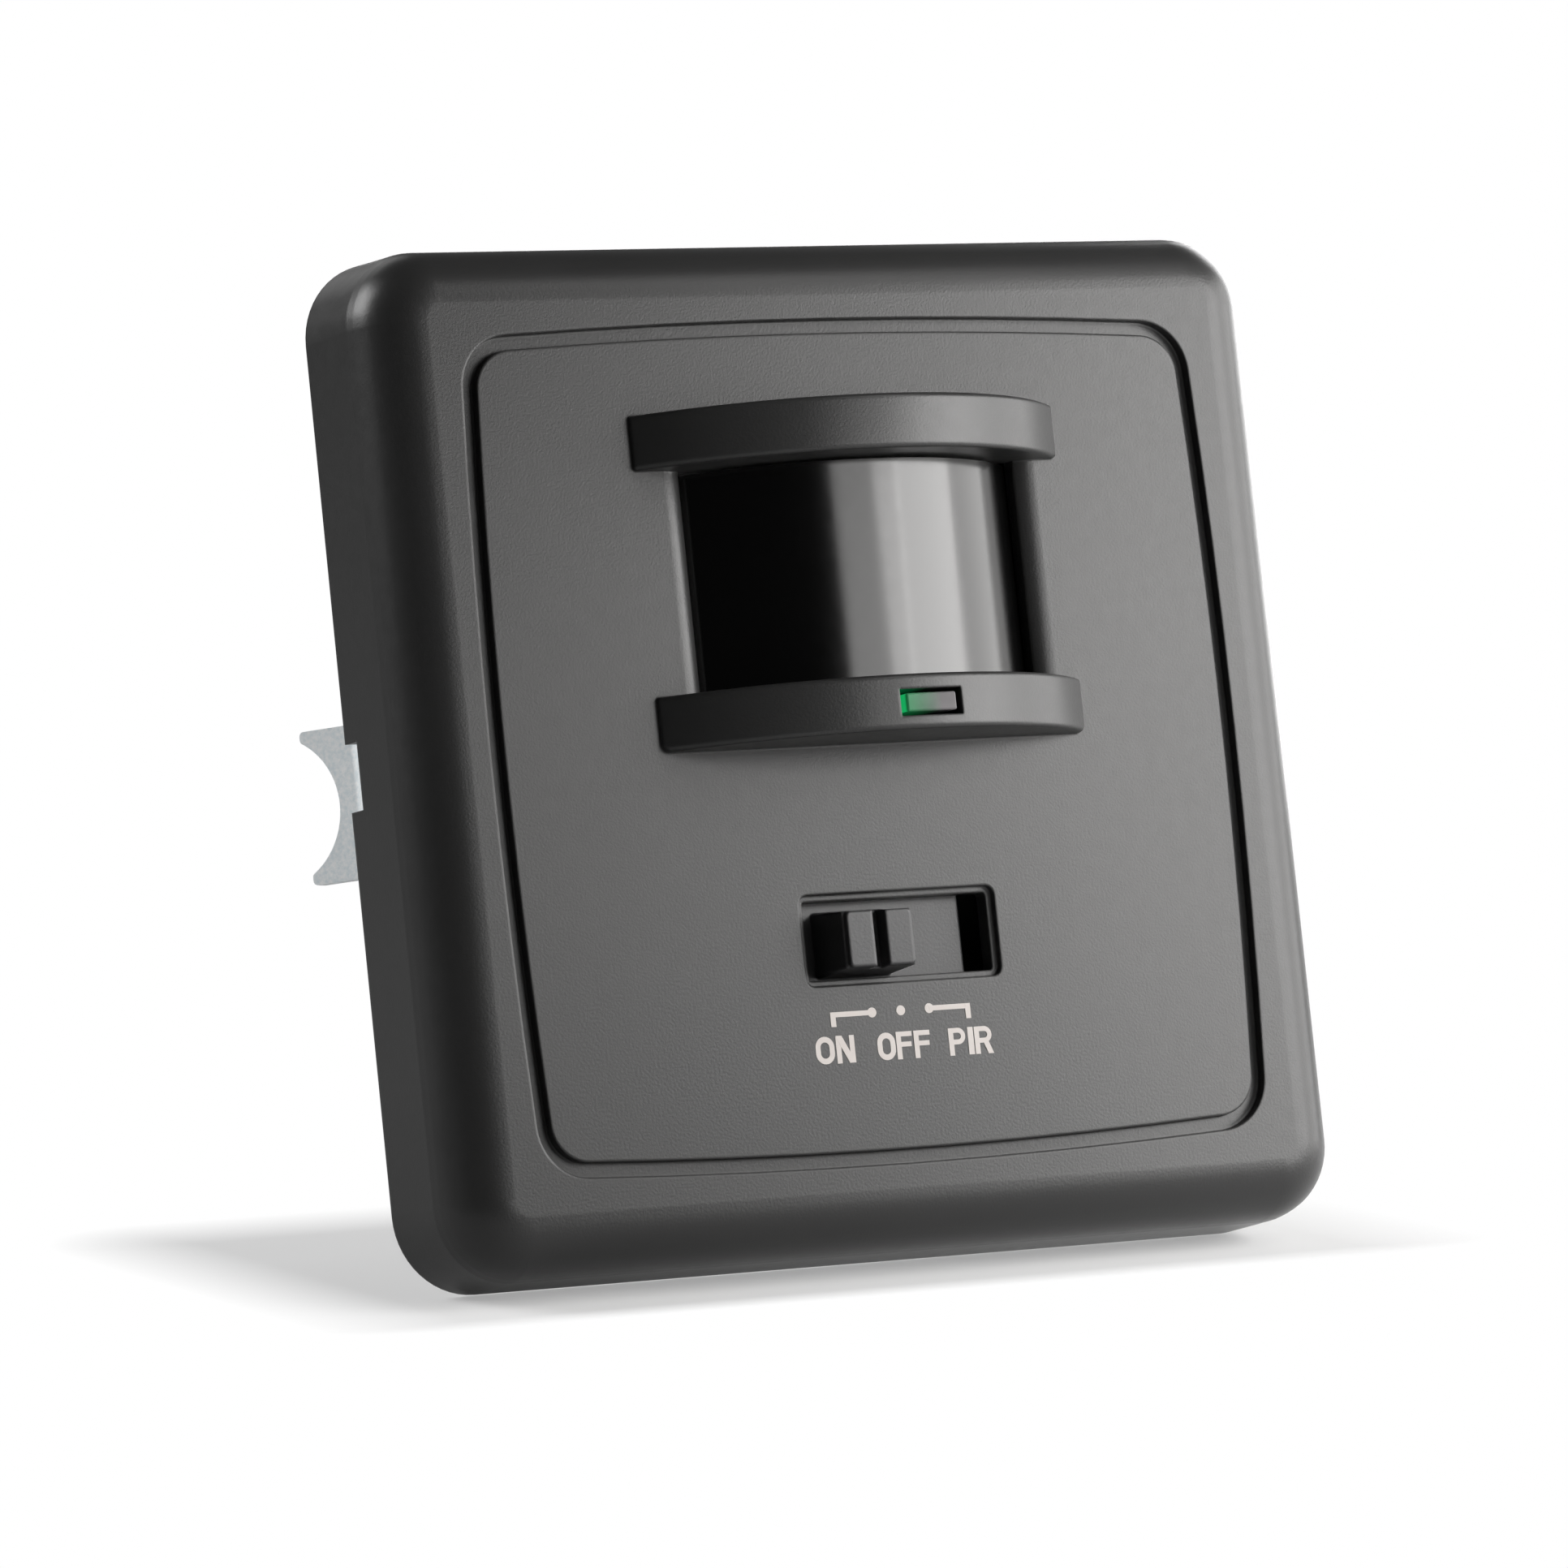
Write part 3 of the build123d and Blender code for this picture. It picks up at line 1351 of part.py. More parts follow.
# Varistor disc, standing on edge
with BuildPart() as varistor:
    varistor_axis = power_face + varistor_stand + varistor_radius
    with BuildSketch(Plane.YZ.offset(varistor_x - varistor_thick / 2)):
        with Locations((-varistor_axis, varistor_z)):
            Circle(varistor_radius)
    extrude(amount=varistor_thick)
    chamfer(varistor.edges().filter_by(GeomType.CIRCLE), varistor_edge)
    with BuildSketch(ahead(varistor_axis)):
        with Locations(*varistor_pins):
            RegularPolygon(pin_radius, lead_sides)
    extrude(amount=power_back - pin_through - varistor_axis)
finish("varistor", varistor)

# Fuse with metal end caps
with BuildPart() as fuse:
    fuse_axis = power_face + fuse_stand + fuse_cap_radius
    with BuildSketch(Plane.YZ.offset(fuse_x - fuse_half + fuse_glass_inset)):
        with Locations((-fuse_axis, fuse_z)):
            Circle(fuse_radius)
    extrude(amount=2 * (fuse_half - fuse_glass_inset))
    for start in (fuse_x - fuse_half, fuse_x + fuse_half - fuse_cap):
        with BuildSketch(Plane.YZ.offset(start)):
            with Locations((-fuse_axis, fuse_z)):
                Circle(fuse_cap_radius)
        extrude(amount=fuse_cap)
    with BuildSketch(ahead(fuse_axis)):
        with Locations(*fuse_pins):
            RegularPolygon(pin_radius, lead_sides)
    extrude(amount=power_back - pin_through - fuse_axis)
finish("fuse", fuse)

# Terminal block with a cavity, a wire bore and a screw bore for each pole
tail_back = power_face + part_stand
with BuildPart() as terminal_block:
    with BuildSketch(ahead(block_back)):
        with Locations((0, (block_low + block_high) / 2)):
            Rectangle(2 * block_half, block_high - block_low)
    extrude(amount=block_deep)
    with BuildSketch(ahead(clamp_back - clamp_gap)):
        with Locations(*[(x, (clamp_low + clamp_high) / 2) for x in pole_places]):
            Rectangle(clamp_width + 2 * clamp_gap, clamp_high - clamp_low + 2 * clamp_gap)
    extrude(amount=block_deep, mode=Mode.SUBTRACT)
    with BuildSketch(ahead(tail_back - clamp_gap)):
        with Locations(*[(x, block_high) for x in pole_places]):
            Rectangle(tail_width + 2 * clamp_gap, 2 * (block_high - clamp_high))
    extrude(amount=block_deep, mode=Mode.SUBTRACT)
    with BuildSketch(ahead(clamp_back)):
        with Locations(*[(x, wire_rise) for x in pole_places]):
            Circle(wire_bore)
    extrude(amount=block_back - clamp_back - overrun, mode=Mode.SUBTRACT)
    with BuildSketch(Plane.XY.offset(block_low - overrun)):
        with Locations(*[(x, -clamp_middle) for x in pole_places]):
            Circle(terminal_head_bore)
    extrude(amount=clamp_low - block_low + overrun, mode=Mode.SUBTRACT)
finish("terminal_block", terminal_block)

# Clamp cages, each with a tail that is soldered to the power board
with BuildPart() as terminal_clamps:
    clamp_centre = (clamp_low + clamp_high) / 2
    with BuildSketch(ahead(clamp_back)):
        with Locations(*[(x, clamp_centre) for x in pole_places]):
            Rectangle(clamp_width, clamp_high - clamp_low)
        with Locations(*[(x, clamp_centre) for x in pole_places]):
            Rectangle(
                clamp_width - 2 * clamp_wall, clamp_high - clamp_low - 2 * clamp_wall, mode=Mode.SUBTRACT
            )
    extrude(amount=clamp_long)
    with BuildSketch(ahead(tail_back)):
        with Locations(*[(x, clamp_high - clamp_wall / 2) for x in pole_places]):
            Rectangle(
                tail_width, tail_top - clamp_high + clamp_wall / 2, align=(Align.CENTER, Align.MIN)
            )
    extrude(amount=tail_thick)
    with BuildSketch(Plane.XY.offset(clamp_low - overrun)):
        with Locations(*[(x, -clamp_middle) for x in pole_places]):
            Circle(terminal_screw_radius + terminal_bore_gap)
    extrude(amount=clamp_wall + 2 * overrun, mode=Mode.SUBTRACT)
finish("terminal_clamps", terminal_clamps)

# Terminal screws, reached from below
with BuildPart() as terminal_screws:
    screw_seat = clamp_low - terminal_head_gap
    with BuildSketch(Plane.XY.offset(screw_seat)):
        with Locations(*[(x, -clamp_middle) for x in pole_places]):
            Circle(terminal_screw_head)
    extrude(amount=-terminal_screw_head_high)
    with BuildSketch(Plane.XY.offset(screw_seat - terminal_screw_head_high)):
        with Locations(*[(x, -clamp_middle) for x in pole_places]):
            Rectangle(2 * terminal_screw_head, terminal_slot_width)
    extrude(amount=terminal_slot_deep, mode=Mode.SUBTRACT)
    with BuildSketch(Plane.XY.offset(screw_seat)):
        with Locations(*[(x, -clamp_middle) for x in pole_places]):
            Circle(terminal_screw_radius)
    extrude(amount=terminal_screw_end - screw_seat)
finish("terminal_screws", terminal_screws)
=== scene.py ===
import bpy
import math
from mathutils import Matrix, Vector


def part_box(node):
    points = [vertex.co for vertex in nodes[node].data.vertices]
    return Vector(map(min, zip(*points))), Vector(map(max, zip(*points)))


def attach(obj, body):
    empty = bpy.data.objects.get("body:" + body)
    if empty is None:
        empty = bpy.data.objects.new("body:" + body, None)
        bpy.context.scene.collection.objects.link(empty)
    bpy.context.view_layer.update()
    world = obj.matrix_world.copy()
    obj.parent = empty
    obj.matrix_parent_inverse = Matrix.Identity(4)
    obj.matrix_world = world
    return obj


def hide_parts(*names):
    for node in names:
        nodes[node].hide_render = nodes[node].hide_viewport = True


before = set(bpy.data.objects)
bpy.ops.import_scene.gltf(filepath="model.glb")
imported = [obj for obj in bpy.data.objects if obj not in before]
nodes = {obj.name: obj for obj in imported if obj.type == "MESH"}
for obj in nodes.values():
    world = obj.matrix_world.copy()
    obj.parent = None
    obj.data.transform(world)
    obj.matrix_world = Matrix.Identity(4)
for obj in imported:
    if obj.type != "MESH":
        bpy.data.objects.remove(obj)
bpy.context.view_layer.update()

MM = 0.001

# Places on the front, in mm: X to the right, Z up, depth from the wall plane towards the viewer
FACE = 11.2
BAR_FRONT = 20.0
RIM_START = 35.5
RIM_END = 37.5
LAMP_X, LAMP_Z = 0.75, 1.7
LAMP_WIDTH, LAMP_HEIGHT = 5.5, 2.1
LAMP_LEFT = LAMP_X - LAMP_WIDTH / 2
PIPE_WIDTH, PIPE_HEIGHT = 4.4, 1.45
PIPE_LEFT = LAMP_X - PIPE_WIDTH / 2
PIPE_ROUND = 0.18
PIPE_SEAT = 0.06
COLLAR_BACK, COLLAR_FRONT = 8.0, 9.0

# Shading of the faces: angles in degrees and sizes in mm
CROWN = 3.0
EDGE_ROUND = 0.3
EDGE_SAMPLES = 8
SCRATCH = 0.002
SMOOTH_ANGLE = 28
PIPE_SMOOTH_ANGLE = 40

# Shares: the grain that is left on the rims, and how far tone and roughness vary
RIM_GRAIN = 0.35
COVER_SPREAD = 0.06
PLASTIC_ROUGH = 0.92, 1.08
COVER_ROUGH = 0.94, 1.06
METAL_ROUGH = 0.85, 1.2

# Noise in periods per metre, and the two values that most of it lies between
TONE_NOISE = 60.0
CLOUD_NOISE = 500.0
SHEEN_NOISE = 900.0
SCUFF_NOISE = 3000.0
SCRATCH_NOISE = 4000.0
NOISE_LOW, NOISE_HIGH = 0.3, 0.7

# Painted green light on the walls of the lamp window, a glow of the cover itself: strength,
# margin around the window and depths behind the front of the bar, in mm
WINDOW_GLOW = 0.07
GLOW_MARGIN = 0.04
GLOW_FRONT, GLOW_BACK = 0.1, 3.1

# Painted green light of the pipe's face, in its colour and its glow, which fades from left to right
# (strength and places)
FACE_GLOW = 0.06
PAINTED_GREEN_START, PAINTED_GREEN_END = PIPE_LEFT + 0.2, LAMP_X + 0.9

# Painted green glow of the pipe's left side, which grows with the depth behind the front of the bar
SIDE_SKIN = 0.08
SIDE_DIM, SIDE_BRIGHT = 0.02, 0.36
SIDE_NEAR, SIDE_DEEP = 0.12, 0.45

# Light of the surroundings as a share of white: everywhere, and behind the object in reflections
AMBIENT = 0.03
BEHIND_WHITE = 0.12


# Materials
def new_material(name):
    mat = bpy.data.materials.new(name)
    mat.use_nodes = True
    mat.node_tree.nodes.clear()
    return mat


class Graph:
    """A small helper that adds and links shader nodes."""

    def __init__(self, tree, output="ShaderNodeOutputMaterial"):
        self.tree = tree
        self.out = tree.nodes.new(output)

    def node(self, kind, inputs=None, **settings):
        n = self.tree.nodes.new(kind)
        for key, value in settings.items():
            setattr(n, key, value)
        for key, value in (inputs or {}).items():
            self.put(n.inputs[key], value)
        return n

    def put(self, socket, value):
        if isinstance(value, bpy.types.NodeSocket):
            self.tree.links.new(value, socket)
        else:
            socket.default_value = value

    def math(self, operation, *values):
        n = self.node("ShaderNodeMath", operation=operation)
        for socket, value in zip(n.inputs, values):
            self.put(socket, value)
        return n.outputs[0]

    def where(self):
        return self.node("ShaderNodeTexCoord").outputs["Object"]

    def axes(self, at):
        return self.node("ShaderNodeSeparateXYZ", {0: at}).outputs

    def noise(self, scale, detail, rough, at):
        inputs = {"Scale": scale, "Detail": detail, "Roughness": rough, "Vector": at}
        return self.node("ShaderNodeTexNoise", inputs).outputs["Fac"]

    def ramp(self, fac, low, high):
        """A colour from a noise value."""
        n = self.node("ShaderNodeValToRGB", {"Fac": fac})
        n.color_ramp.elements[0].position = NOISE_LOW
        n.color_ramp.elements[1].position = NOISE_HIGH
        n.color_ramp.elements[0].color = (*low, 1)
        n.color_ramp.elements[1].color = (*high, 1)
        return n.outputs["Color"]

    def grey(self, value, low, high, start=NOISE_LOW, end=NOISE_HIGH):
        """A number that goes from low to high while the value goes from start to end."""
        n = self.node(
            "ShaderNodeMapRange",
            {"Value": value, "From Min": start, "From Max": end, "To Min": low, "To Max": high},
        )
        return n.outputs["Result"]

    def bump(self, height, distance, strength=1.0, normal=None):
        inputs = {"Height": height, "Distance": distance, "Strength": strength}
        if normal is not None:
            inputs["Normal"] = normal
        return self.node("ShaderNodeBump", inputs).outputs["Normal"]

    def surface(self, **inputs):
        names = {
            "color": "Base Color",
            "rough": "Roughness",
            "metal": "Metallic",
            "normal": "Normal",
            "specular": "Specular IOR Level",
            "glow": "Emission Color",
            "glow_strength": "Emission Strength",
        }
        n = self.node("ShaderNodeBsdfPrincipled", {names[k]: v for k, v in inputs.items()})
        self.put(self.out.inputs["Surface"], n.outputs["BSDF"])


def between(color, spread):
    """A darker and a lighter copy of a colour."""
    return tuple(c * (1 - spread) for c in color), tuple(min(1.0, c * (1 + spread)) for c in color)


def rounded(g, radius):
    """A normal that rounds the edges in the shading (radius in mm)."""
    return g.node("ShaderNodeBevel", {"Radius": radius * MM}, samples=EDGE_SAMPLES).outputs["Normal"]


def pebbled(g, at, height, size, strength, normal):
    """A normal with a fine pebbled grain added to it (height and size in mm)."""
    return g.bump(g.noise(1 / (size * MM), 2.0, 0.55, at), height * MM, strength, normal)


def plastic(name, color, rough=0.45, grain=0.0, grain_size=0.35, specular=0.5, spread=0.08, edge=0.0):
    """Moulded plastic with slight tone variation. Grain and rounded edges are optional (in mm)."""
    mat = new_material(name)
    g = Graph(mat.node_tree)
    at = g.where()
    shade = g.ramp(g.noise(TONE_NOISE, 3.0, 0.5, at), *between(color, spread))
    low, high = PLASTIC_ROUGH
    sheen = g.grey(g.noise(SHEEN_NOISE, 3.0, 0.6, at), rough * low, rough * high)
    inputs = {"color": shade, "rough": sheen, "specular": specular}
    if grain > 0:
        base = rounded(g, edge) if edge > 0 else None
        inputs["normal"] = pebbled(g, at, grain, grain_size, 1.0, base)
    g.surface(**inputs)
    return mat


def metal(name, color, rough=0.35, mottle=0.1, patch=2.5, share=1.0):
    """Plated or bare metal with mottled tone (patch in mm) and fine scratches."""
    mat = new_material(name)
    g = Graph(mat.node_tree)
    at = g.where()
    shade = g.ramp(g.noise(1 / (patch * MM), 4.0, 0.6, at), *between(color, mottle))
    low, high = METAL_ROUGH
    sheen = g.grey(g.noise(SCUFF_NOISE, 3.0, 0.6, at), rough * low, rough * high)
    rub = g.bump(g.noise(SCRATCH_NOISE, 2.0, 0.5, at), SCRATCH * MM)
    g.surface(color=shade, metal=share, rough=sheen, normal=rub)
    return mat


def painted_window_glow(g, x, y, z):
    """Strength of the painted green glow on the walls of the lamp window, a glow of the cover itself.
    It fades towards the middle.
    """
    across = g.math("COMPARE", x, LAMP_X * MM, (LAMP_WIDTH / 2 + GLOW_MARGIN) * MM)
    level = g.math("COMPARE", z, LAMP_Z * MM, (LAMP_HEIGHT / 2 + GLOW_MARGIN) * MM)
    middle, half = (GLOW_FRONT + GLOW_BACK) / 2, (GLOW_BACK - GLOW_FRONT) / 2
    deep = g.math("COMPARE", y, -(BAR_FRONT - middle) * MM, half * MM)
    inside = g.math("MULTIPLY", g.math("MULTIPLY", across, level), deep)
    fade = g.grey(x, WINDOW_GLOW, 0.0, LAMP_LEFT * MM, LAMP_X * MM)
    return g.math("MULTIPLY", inside, fade)


def cover_material(color, rough, grain, grain_size, specular):
    """The cover: pebbled on its flat faces, smoother on its rims, with painted green light inside the
    lamp window.
    """
    mat = new_material("cover")
    g = Graph(mat.node_tree)
    at = g.where()
    x, y, z = g.axes(at)
    edge = g.math("MAXIMUM", g.math("ABSOLUTE", x), g.math("ABSOLUTE", z))
    calm = g.grey(edge, 1.0, RIM_GRAIN, RIM_START * MM, RIM_END * MM)
    shade = g.ramp(g.noise(TONE_NOISE, 3.0, 0.5, at), *between(color, COVER_SPREAD))
    low, high = COVER_ROUGH
    sheen = g.grey(g.noise(SHEEN_NOISE, 3.0, 0.6, at), rough * low, rough * high)
    slope = math.tan(math.radians(CROWN)) / (2 * RIM_START * MM)
    drop = g.math("MULTIPLY", g.math("MULTIPLY", x, x), -slope)
    crown = g.bump(drop, 1.0, 1.0, rounded(g, EDGE_ROUND))
    g.surface(
        color=shade,
        rough=sheen,
        specular=specular,
        normal=pebbled(g, at, grain, grain_size, calm, crown),
        glow=(0.0, 1.0, 0.3, 1),
        glow_strength=painted_window_glow(g, x, y, z),
    )
    return mat


def pipe_material():
    """The light pipe: clouded plastic, with painted green light in its colour and glow where the lamp
    shines through its left part and side.
    """
    mat = new_material("light pipe")
    g = Graph(mat.node_tree)
    at = g.where()
    x, y, _ = g.axes(at)
    # Painted light of the lamp: the pipe turns green in colour and glow towards its left
    painted_green = g.grey(x, 1.0, 0.0, PAINTED_GREEN_START * MM, PAINTED_GREEN_END * MM)
    cloud = g.noise(CLOUD_NOISE, 3.0, 0.5, at)
    green = g.ramp(cloud, (0.03, 0.12, 0.06), (0.05, 0.17, 0.09))
    clear = g.ramp(cloud, (0.1, 0.095, 0.1), (0.14, 0.135, 0.14))
    # Sockets 6 and 7 and output 2 are the ones for colours
    mix = g.node("ShaderNodeMix", {"Factor": painted_green, 6: clear, 7: green}, data_type="RGBA")
    shade = mix.outputs[2]
    # Painted glow on the pipe's left side, brighter deeper behind the bar's front
    beside = g.math("LESS_THAN", x, (PIPE_LEFT + SIDE_SKIN) * MM)
    near, deep = -(BAR_FRONT - SIDE_NEAR) * MM, -(BAR_FRONT - SIDE_DEEP) * MM
    depth = g.grey(y, SIDE_DIM, SIDE_BRIGHT, near, deep)
    face = g.math("MULTIPLY", painted_green, FACE_GLOW)
    glow = g.math("MAXIMUM", g.math("MULTIPLY", beside, depth), face)
    g.surface(color=shade, rough=0.35, specular=0.12, glow=(0.02, 1.0, 0.27, 1), glow_strength=glow)
    return mat


def give(node, mat):
    mesh = nodes[node].data
    mesh.materials.clear()
    mesh.materials.append(mat)


def linear(*values):
    """8-bit screen colour to linear."""
    out = []
    for v in values:
        v = v / 255
        out.append(v / 12.92 if v <= 0.04045 else ((v + 0.055) / 1.055) ** 2.4)
    return tuple(out)


cover_mat = cover_material(linear(44, 44, 44), rough=0.34, grain=0.016, grain_size=0.2, specular=0.34)
knob_look = {"rough": 0.3, "grain": 0.01, "grain_size": 0.2, "specular": 0.34, "edge": 0.35}
knob_mat = plastic("knob", linear(43, 43, 44), **knob_look)
lens_mat = plastic("lens", (0.001, 0.001, 0.001), rough=0.16, specular=0.5)
black_mat = plastic("black", (0.012, 0.012, 0.013), rough=0.5)
housing_mat = plastic("housing", (0.02, 0.02, 0.021), rough=0.45, grain=0.01, grain_size=0.4)
inner_mat = plastic("inner", (0.03, 0.03, 0.032), rough=0.45, grain=0.01, grain_size=0.4)
zinc_look = {"rough": 0.5, "mottle": 0.14, "patch": 0.35, "share": 0.2}
zinc_mat = metal("zinc", (0.87, 0.96, 1.0), **zinc_look)
# Painted shade: the right claw gets a darker copy of the zinc, because the key lamp stands on its side
zinc_painted_shade_mat = metal("zinc painted shade", (0.46, 0.5, 0.52), **zinc_look)
screw_mat = metal("screw", (0.6, 0.6, 0.58), rough=0.3)
plate_mat = metal("plate", (0.58, 0.59, 0.6), rough=0.4, mottle=0.08, patch=3.0)
can_mat = metal("can", (0.66, 0.62, 0.54), rough=0.28, mottle=0.05)
tin_mat = metal("tin", (0.7, 0.7, 0.68), rough=0.35, mottle=0.05)
brass_mat = metal("brass", (0.68, 0.47, 0.2), rough=0.3, mottle=0.08)
board_mat = plastic("board", (0.01, 0.07, 0.025), rough=0.35, spread=0.2)
blue_mat = plastic("trimmer", (0.02, 0.07, 0.3), rough=0.35)
dial_mat = plastic("dial", (0.55, 0.55, 0.52), rough=0.45)
white_mat = plastic("white", (0.62, 0.62, 0.6), rough=0.45)
relay_mat = plastic("relay", (0.02, 0.02, 0.022), rough=0.3)
film_mat = plastic("film", (0.6, 0.38, 0.03), rough=0.3)
sleeve_mat = plastic("sleeve", (0.012, 0.014, 0.05), rough=0.28)
varistor_mat = plastic("varistor", (0.02, 0.07, 0.28), rough=0.32)
fuse_mat = plastic("fuse", (0.7, 0.68, 0.6), rough=0.4)
block_mat = plastic("block", (0.22, 0.23, 0.24), rough=0.5)
ceramic_mat = plastic("ceramic", (0.5, 0.33, 0.18), rough=0.5)
filter_mat = plastic("filter", (0.01, 0.008, 0.015), rough=0.1)
chip_mat = plastic("chip", (0.01, 0.01, 0.011), rough=0.55)
lamp_mat = plastic("lamp", (0.05, 0.35, 0.06), rough=0.2)
print_mat = plastic("print", linear(188, 182, 178), rough=0.6, specular=0.3, spread=0.05)
pipe_mat = pipe_material()

for name, mat in {
    "front_cover": cover_mat,
    "fresnel_lens": lens_mat,
    "lens_retainer": black_mat,
    "led_light_pipe": pipe_mat,
    "slide_knob": knob_mat,
    "mounting_plate": plate_mat,
    "rear_housing": housing_mat,
    "inner_cover": inner_mat,
    "case_screws": screw_mat,
    "claw_left": zinc_mat,
    "claw_right": zinc_painted_shade_mat,
    "claw_screw_left": screw_mat,
    "claw_screw_right": screw_mat,
    "sensor_board": board_mat,
    "pyro_sensor": can_mat,
    "pyro_filter": filter_mat,
    "light_sensor": ceramic_mat,
    "indicator_led": lamp_mat,
    "mode_switch_body": black_mat,
    "mode_switch_lever": white_mat,
    "mode_switch_pins": tin_mat,
    "trimmer_bodies": blue_mat,
    "lux_dial": dial_mat,
    "time_dial": dial_mat,
    "controller_chip": chip_mat,
    "chip_leads": tin_mat,
    "link_header": black_mat,
    "link_pins": tin_mat,
    "power_board": board_mat,
    "relay": relay_mat,
    "film_capacitor": film_mat,
    "electrolytic_capacitor": sleeve_mat,
    "varistor": varistor_mat,
    "fuse": fuse_mat,
    "terminal_block": block_mat,
    "terminal_clamps": brass_mat,
    "terminal_screws": screw_mat,
}.items():
    give(name, mat)


def soften(obj, angle):
    """Smooth shading on curved faces, with crisp edges where the surface turns sharply."""
    obj.data.polygons.foreach_set("use_smooth", [True] * len(obj.data.polygons))
    edge = obj.modifiers.new("edges", "EDGE_SPLIT")
    edge.split_angle = math.radians(angle)
    weight = obj.modifiers.new("normals", "WEIGHTED_NORMAL")
    weight.keep_sharp = True


for obj in nodes.values():
    soften(obj, SMOOTH_ANGLE)


def link(name, mesh):
    obj = bpy.data.objects.new(name, mesh)
    bpy.context.scene.collection.objects.link(obj)
    return obj


# Light pipe: its face stands level with the lower bar, and a collar seats it behind the cover
def prism(name, x, z, sections):
    """A closed bar along the depth, from (depth, width, height) of each section in mm."""
    verts, faces = [], []
    for depth, width, height in sections:
        for sx, sz in ((-1, -1), (1, -1), (1, 1), (-1, 1)):
            verts.append(((x + sx * width / 2) * MM, -depth * MM, (z + sz * height / 2) * MM))
    for start in range(0, len(verts) - 4, 4):
        for k in range(4):
            a, b = start + k, start + (k + 1) % 4
            faces.append([a, b, b + 4, a + 4])
    faces.append([3, 2, 1, 0])
    faces.append([len(verts) - 4 + k for k in range(4)])
    mesh = bpy.data.meshes.new(name)
    mesh.from_pydata(verts, [], faces)
    return link(name, mesh)


low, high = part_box("led_light_pipe")
collar = (high[0] - low[0]) / MM, (high[2] - low[2]) / MM
pipe = prism("light_pipe", LAMP_X, LAMP_Z, [
    (-high[1] / MM, PIPE_WIDTH, PIPE_HEIGHT),
    (COLLAR_BACK, PIPE_WIDTH, PIPE_HEIGHT),
    (COLLAR_BACK, *collar),
    (COLLAR_FRONT, *collar),
    (COLLAR_FRONT, PIPE_WIDTH, PIPE_HEIGHT),
    (BAR_FRONT - PIPE_SEAT, PIPE_WIDTH, PIPE_HEIGHT),
])
pipe.data.materials.append(pipe_mat)
bevel = pipe.modifiers.new("round", "BEVEL")
bevel.width = PIPE_ROUND * MM
bevel.segments = 3
bevel.limit_method = "ANGLE"
soften(pipe, PIPE_SMOOTH_ANGLE)
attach(pipe, "frame")
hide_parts("led_light_pipe")


# Legend: thin print on the face, made of strokes (in mm)
PRINT_THICK = 0.03
PRINT_STEP = 0.003
LETTER_LOW, LETTER_HIGH = -25.16, -23.01
LETTER_TALL = LETTER_HIGH - LETTER_LOW
STEM, ARM = 0.44, 0.38
DIAGONAL = 1.25 * STEM
LEG, LEG_FOOT = 1.1 * STEM, 1.05 * STEM
LEG_TOP = 0.45
SHORT_ARM = 0.08
SMALL_BOWL = 0.05
ARM_LOW = LETTER_LOW + LETTER_TALL * 0.45
BOWL_LOW = LETTER_LOW + LETTER_TALL * 0.4
ROUND_STEPS = 12


def printed(name, outlines, lift=0.0):
    """Thin flat shapes on the face, from rings of (x, z) points or (outer, inner) pairs of rings.

    Each shape stands PRINT_STEP prouder than the one before it, so that no two share a plane.
    """
    verts, faces = [], []
    for order, shape in enumerate(outlines):
        rings = shape if isinstance(shape, tuple) else (shape,)
        starts = []
        thick = PRINT_THICK + lift + PRINT_STEP * order
        for ring in rings:
            starts.append(len(verts))
            for depth in (FACE + thick, FACE - thick):
                verts += [(x * MM, -depth * MM, z * MM) for x, z in ring]
        n = len(rings[0])
        front = [starts[0] + k for k in range(n)]
        if len(rings) == 1:
            faces.append(front)
            faces.append([k + n for k in reversed(front)])
        else:
            for k in range(n):
                a, b = starts[0] + k, starts[0] + (k + 1) % n
                c, d = starts[1] + (k + 1) % n, starts[1] + k
                faces.append([a, b, c, d])
                faces.append([d + n, c + n, b + n, a + n])
        for side, start in enumerate(starts):
            for k in range(n):
                a, b = start + k, start + (k + 1) % n
                wall = [b, a, a + n, b + n]
                faces.append(wall if side == 0 else wall[::-1])
    mesh = bpy.data.meshes.new(name)
    mesh.from_pydata(verts, [], faces)
    mesh.materials.append(print_mat)
    obj = link(name, mesh)
    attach(obj, "frame")


def bar(x0, z0, x1, z1):
    return [(x0, z0), (x1, z0), (x1, z1), (x0, z1)]


def slanted(x0, z0, x1, z1, width):
    """A stroke from (x0, z0) down or up to (x1, z1), with level ends."""
    return [(x0, z0), (x0 + width, z0), (x1 + width, z1), (x1, z1)]


def arc(x, z, rx, rz, start, end, steps):
    return [
        (x + rx * math.cos(math.radians(a)), z + rz * math.sin(math.radians(a)))
        for a in (start + (end - start) * k / steps for k in range(steps + 1))
    ]


def oval(x, z, rx, rz, straight):
    """A ring outline with round ends and straight sides of the given half length."""
    top = arc(x, z + straight, rx, rz - straight, 0, 180, ROUND_STEPS)
    return top + arc(x, z - straight, rx, rz - straight, 180, 360, ROUND_STEPS)


def letter_o(x0, x1):
    x, z = (x0 + x1) / 2, (LETTER_LOW + LETTER_HIGH) / 2
    rx, rz = (x1 - x0) / 2, LETTER_TALL / 2
    return [(oval(x, z, rx, rz, rz - rx), oval(x, z, rx - STEM, rz - STEM, rz - rx))]


def letter_n(x0, x1):
    return [
        bar(x0, LETTER_LOW, x0 + STEM, LETTER_HIGH),
        bar(x1 - STEM, LETTER_LOW, x1, LETTER_HIGH),
        slanted(x1 - DIAGONAL, LETTER_LOW, x0, LETTER_HIGH, DIAGONAL),
    ]


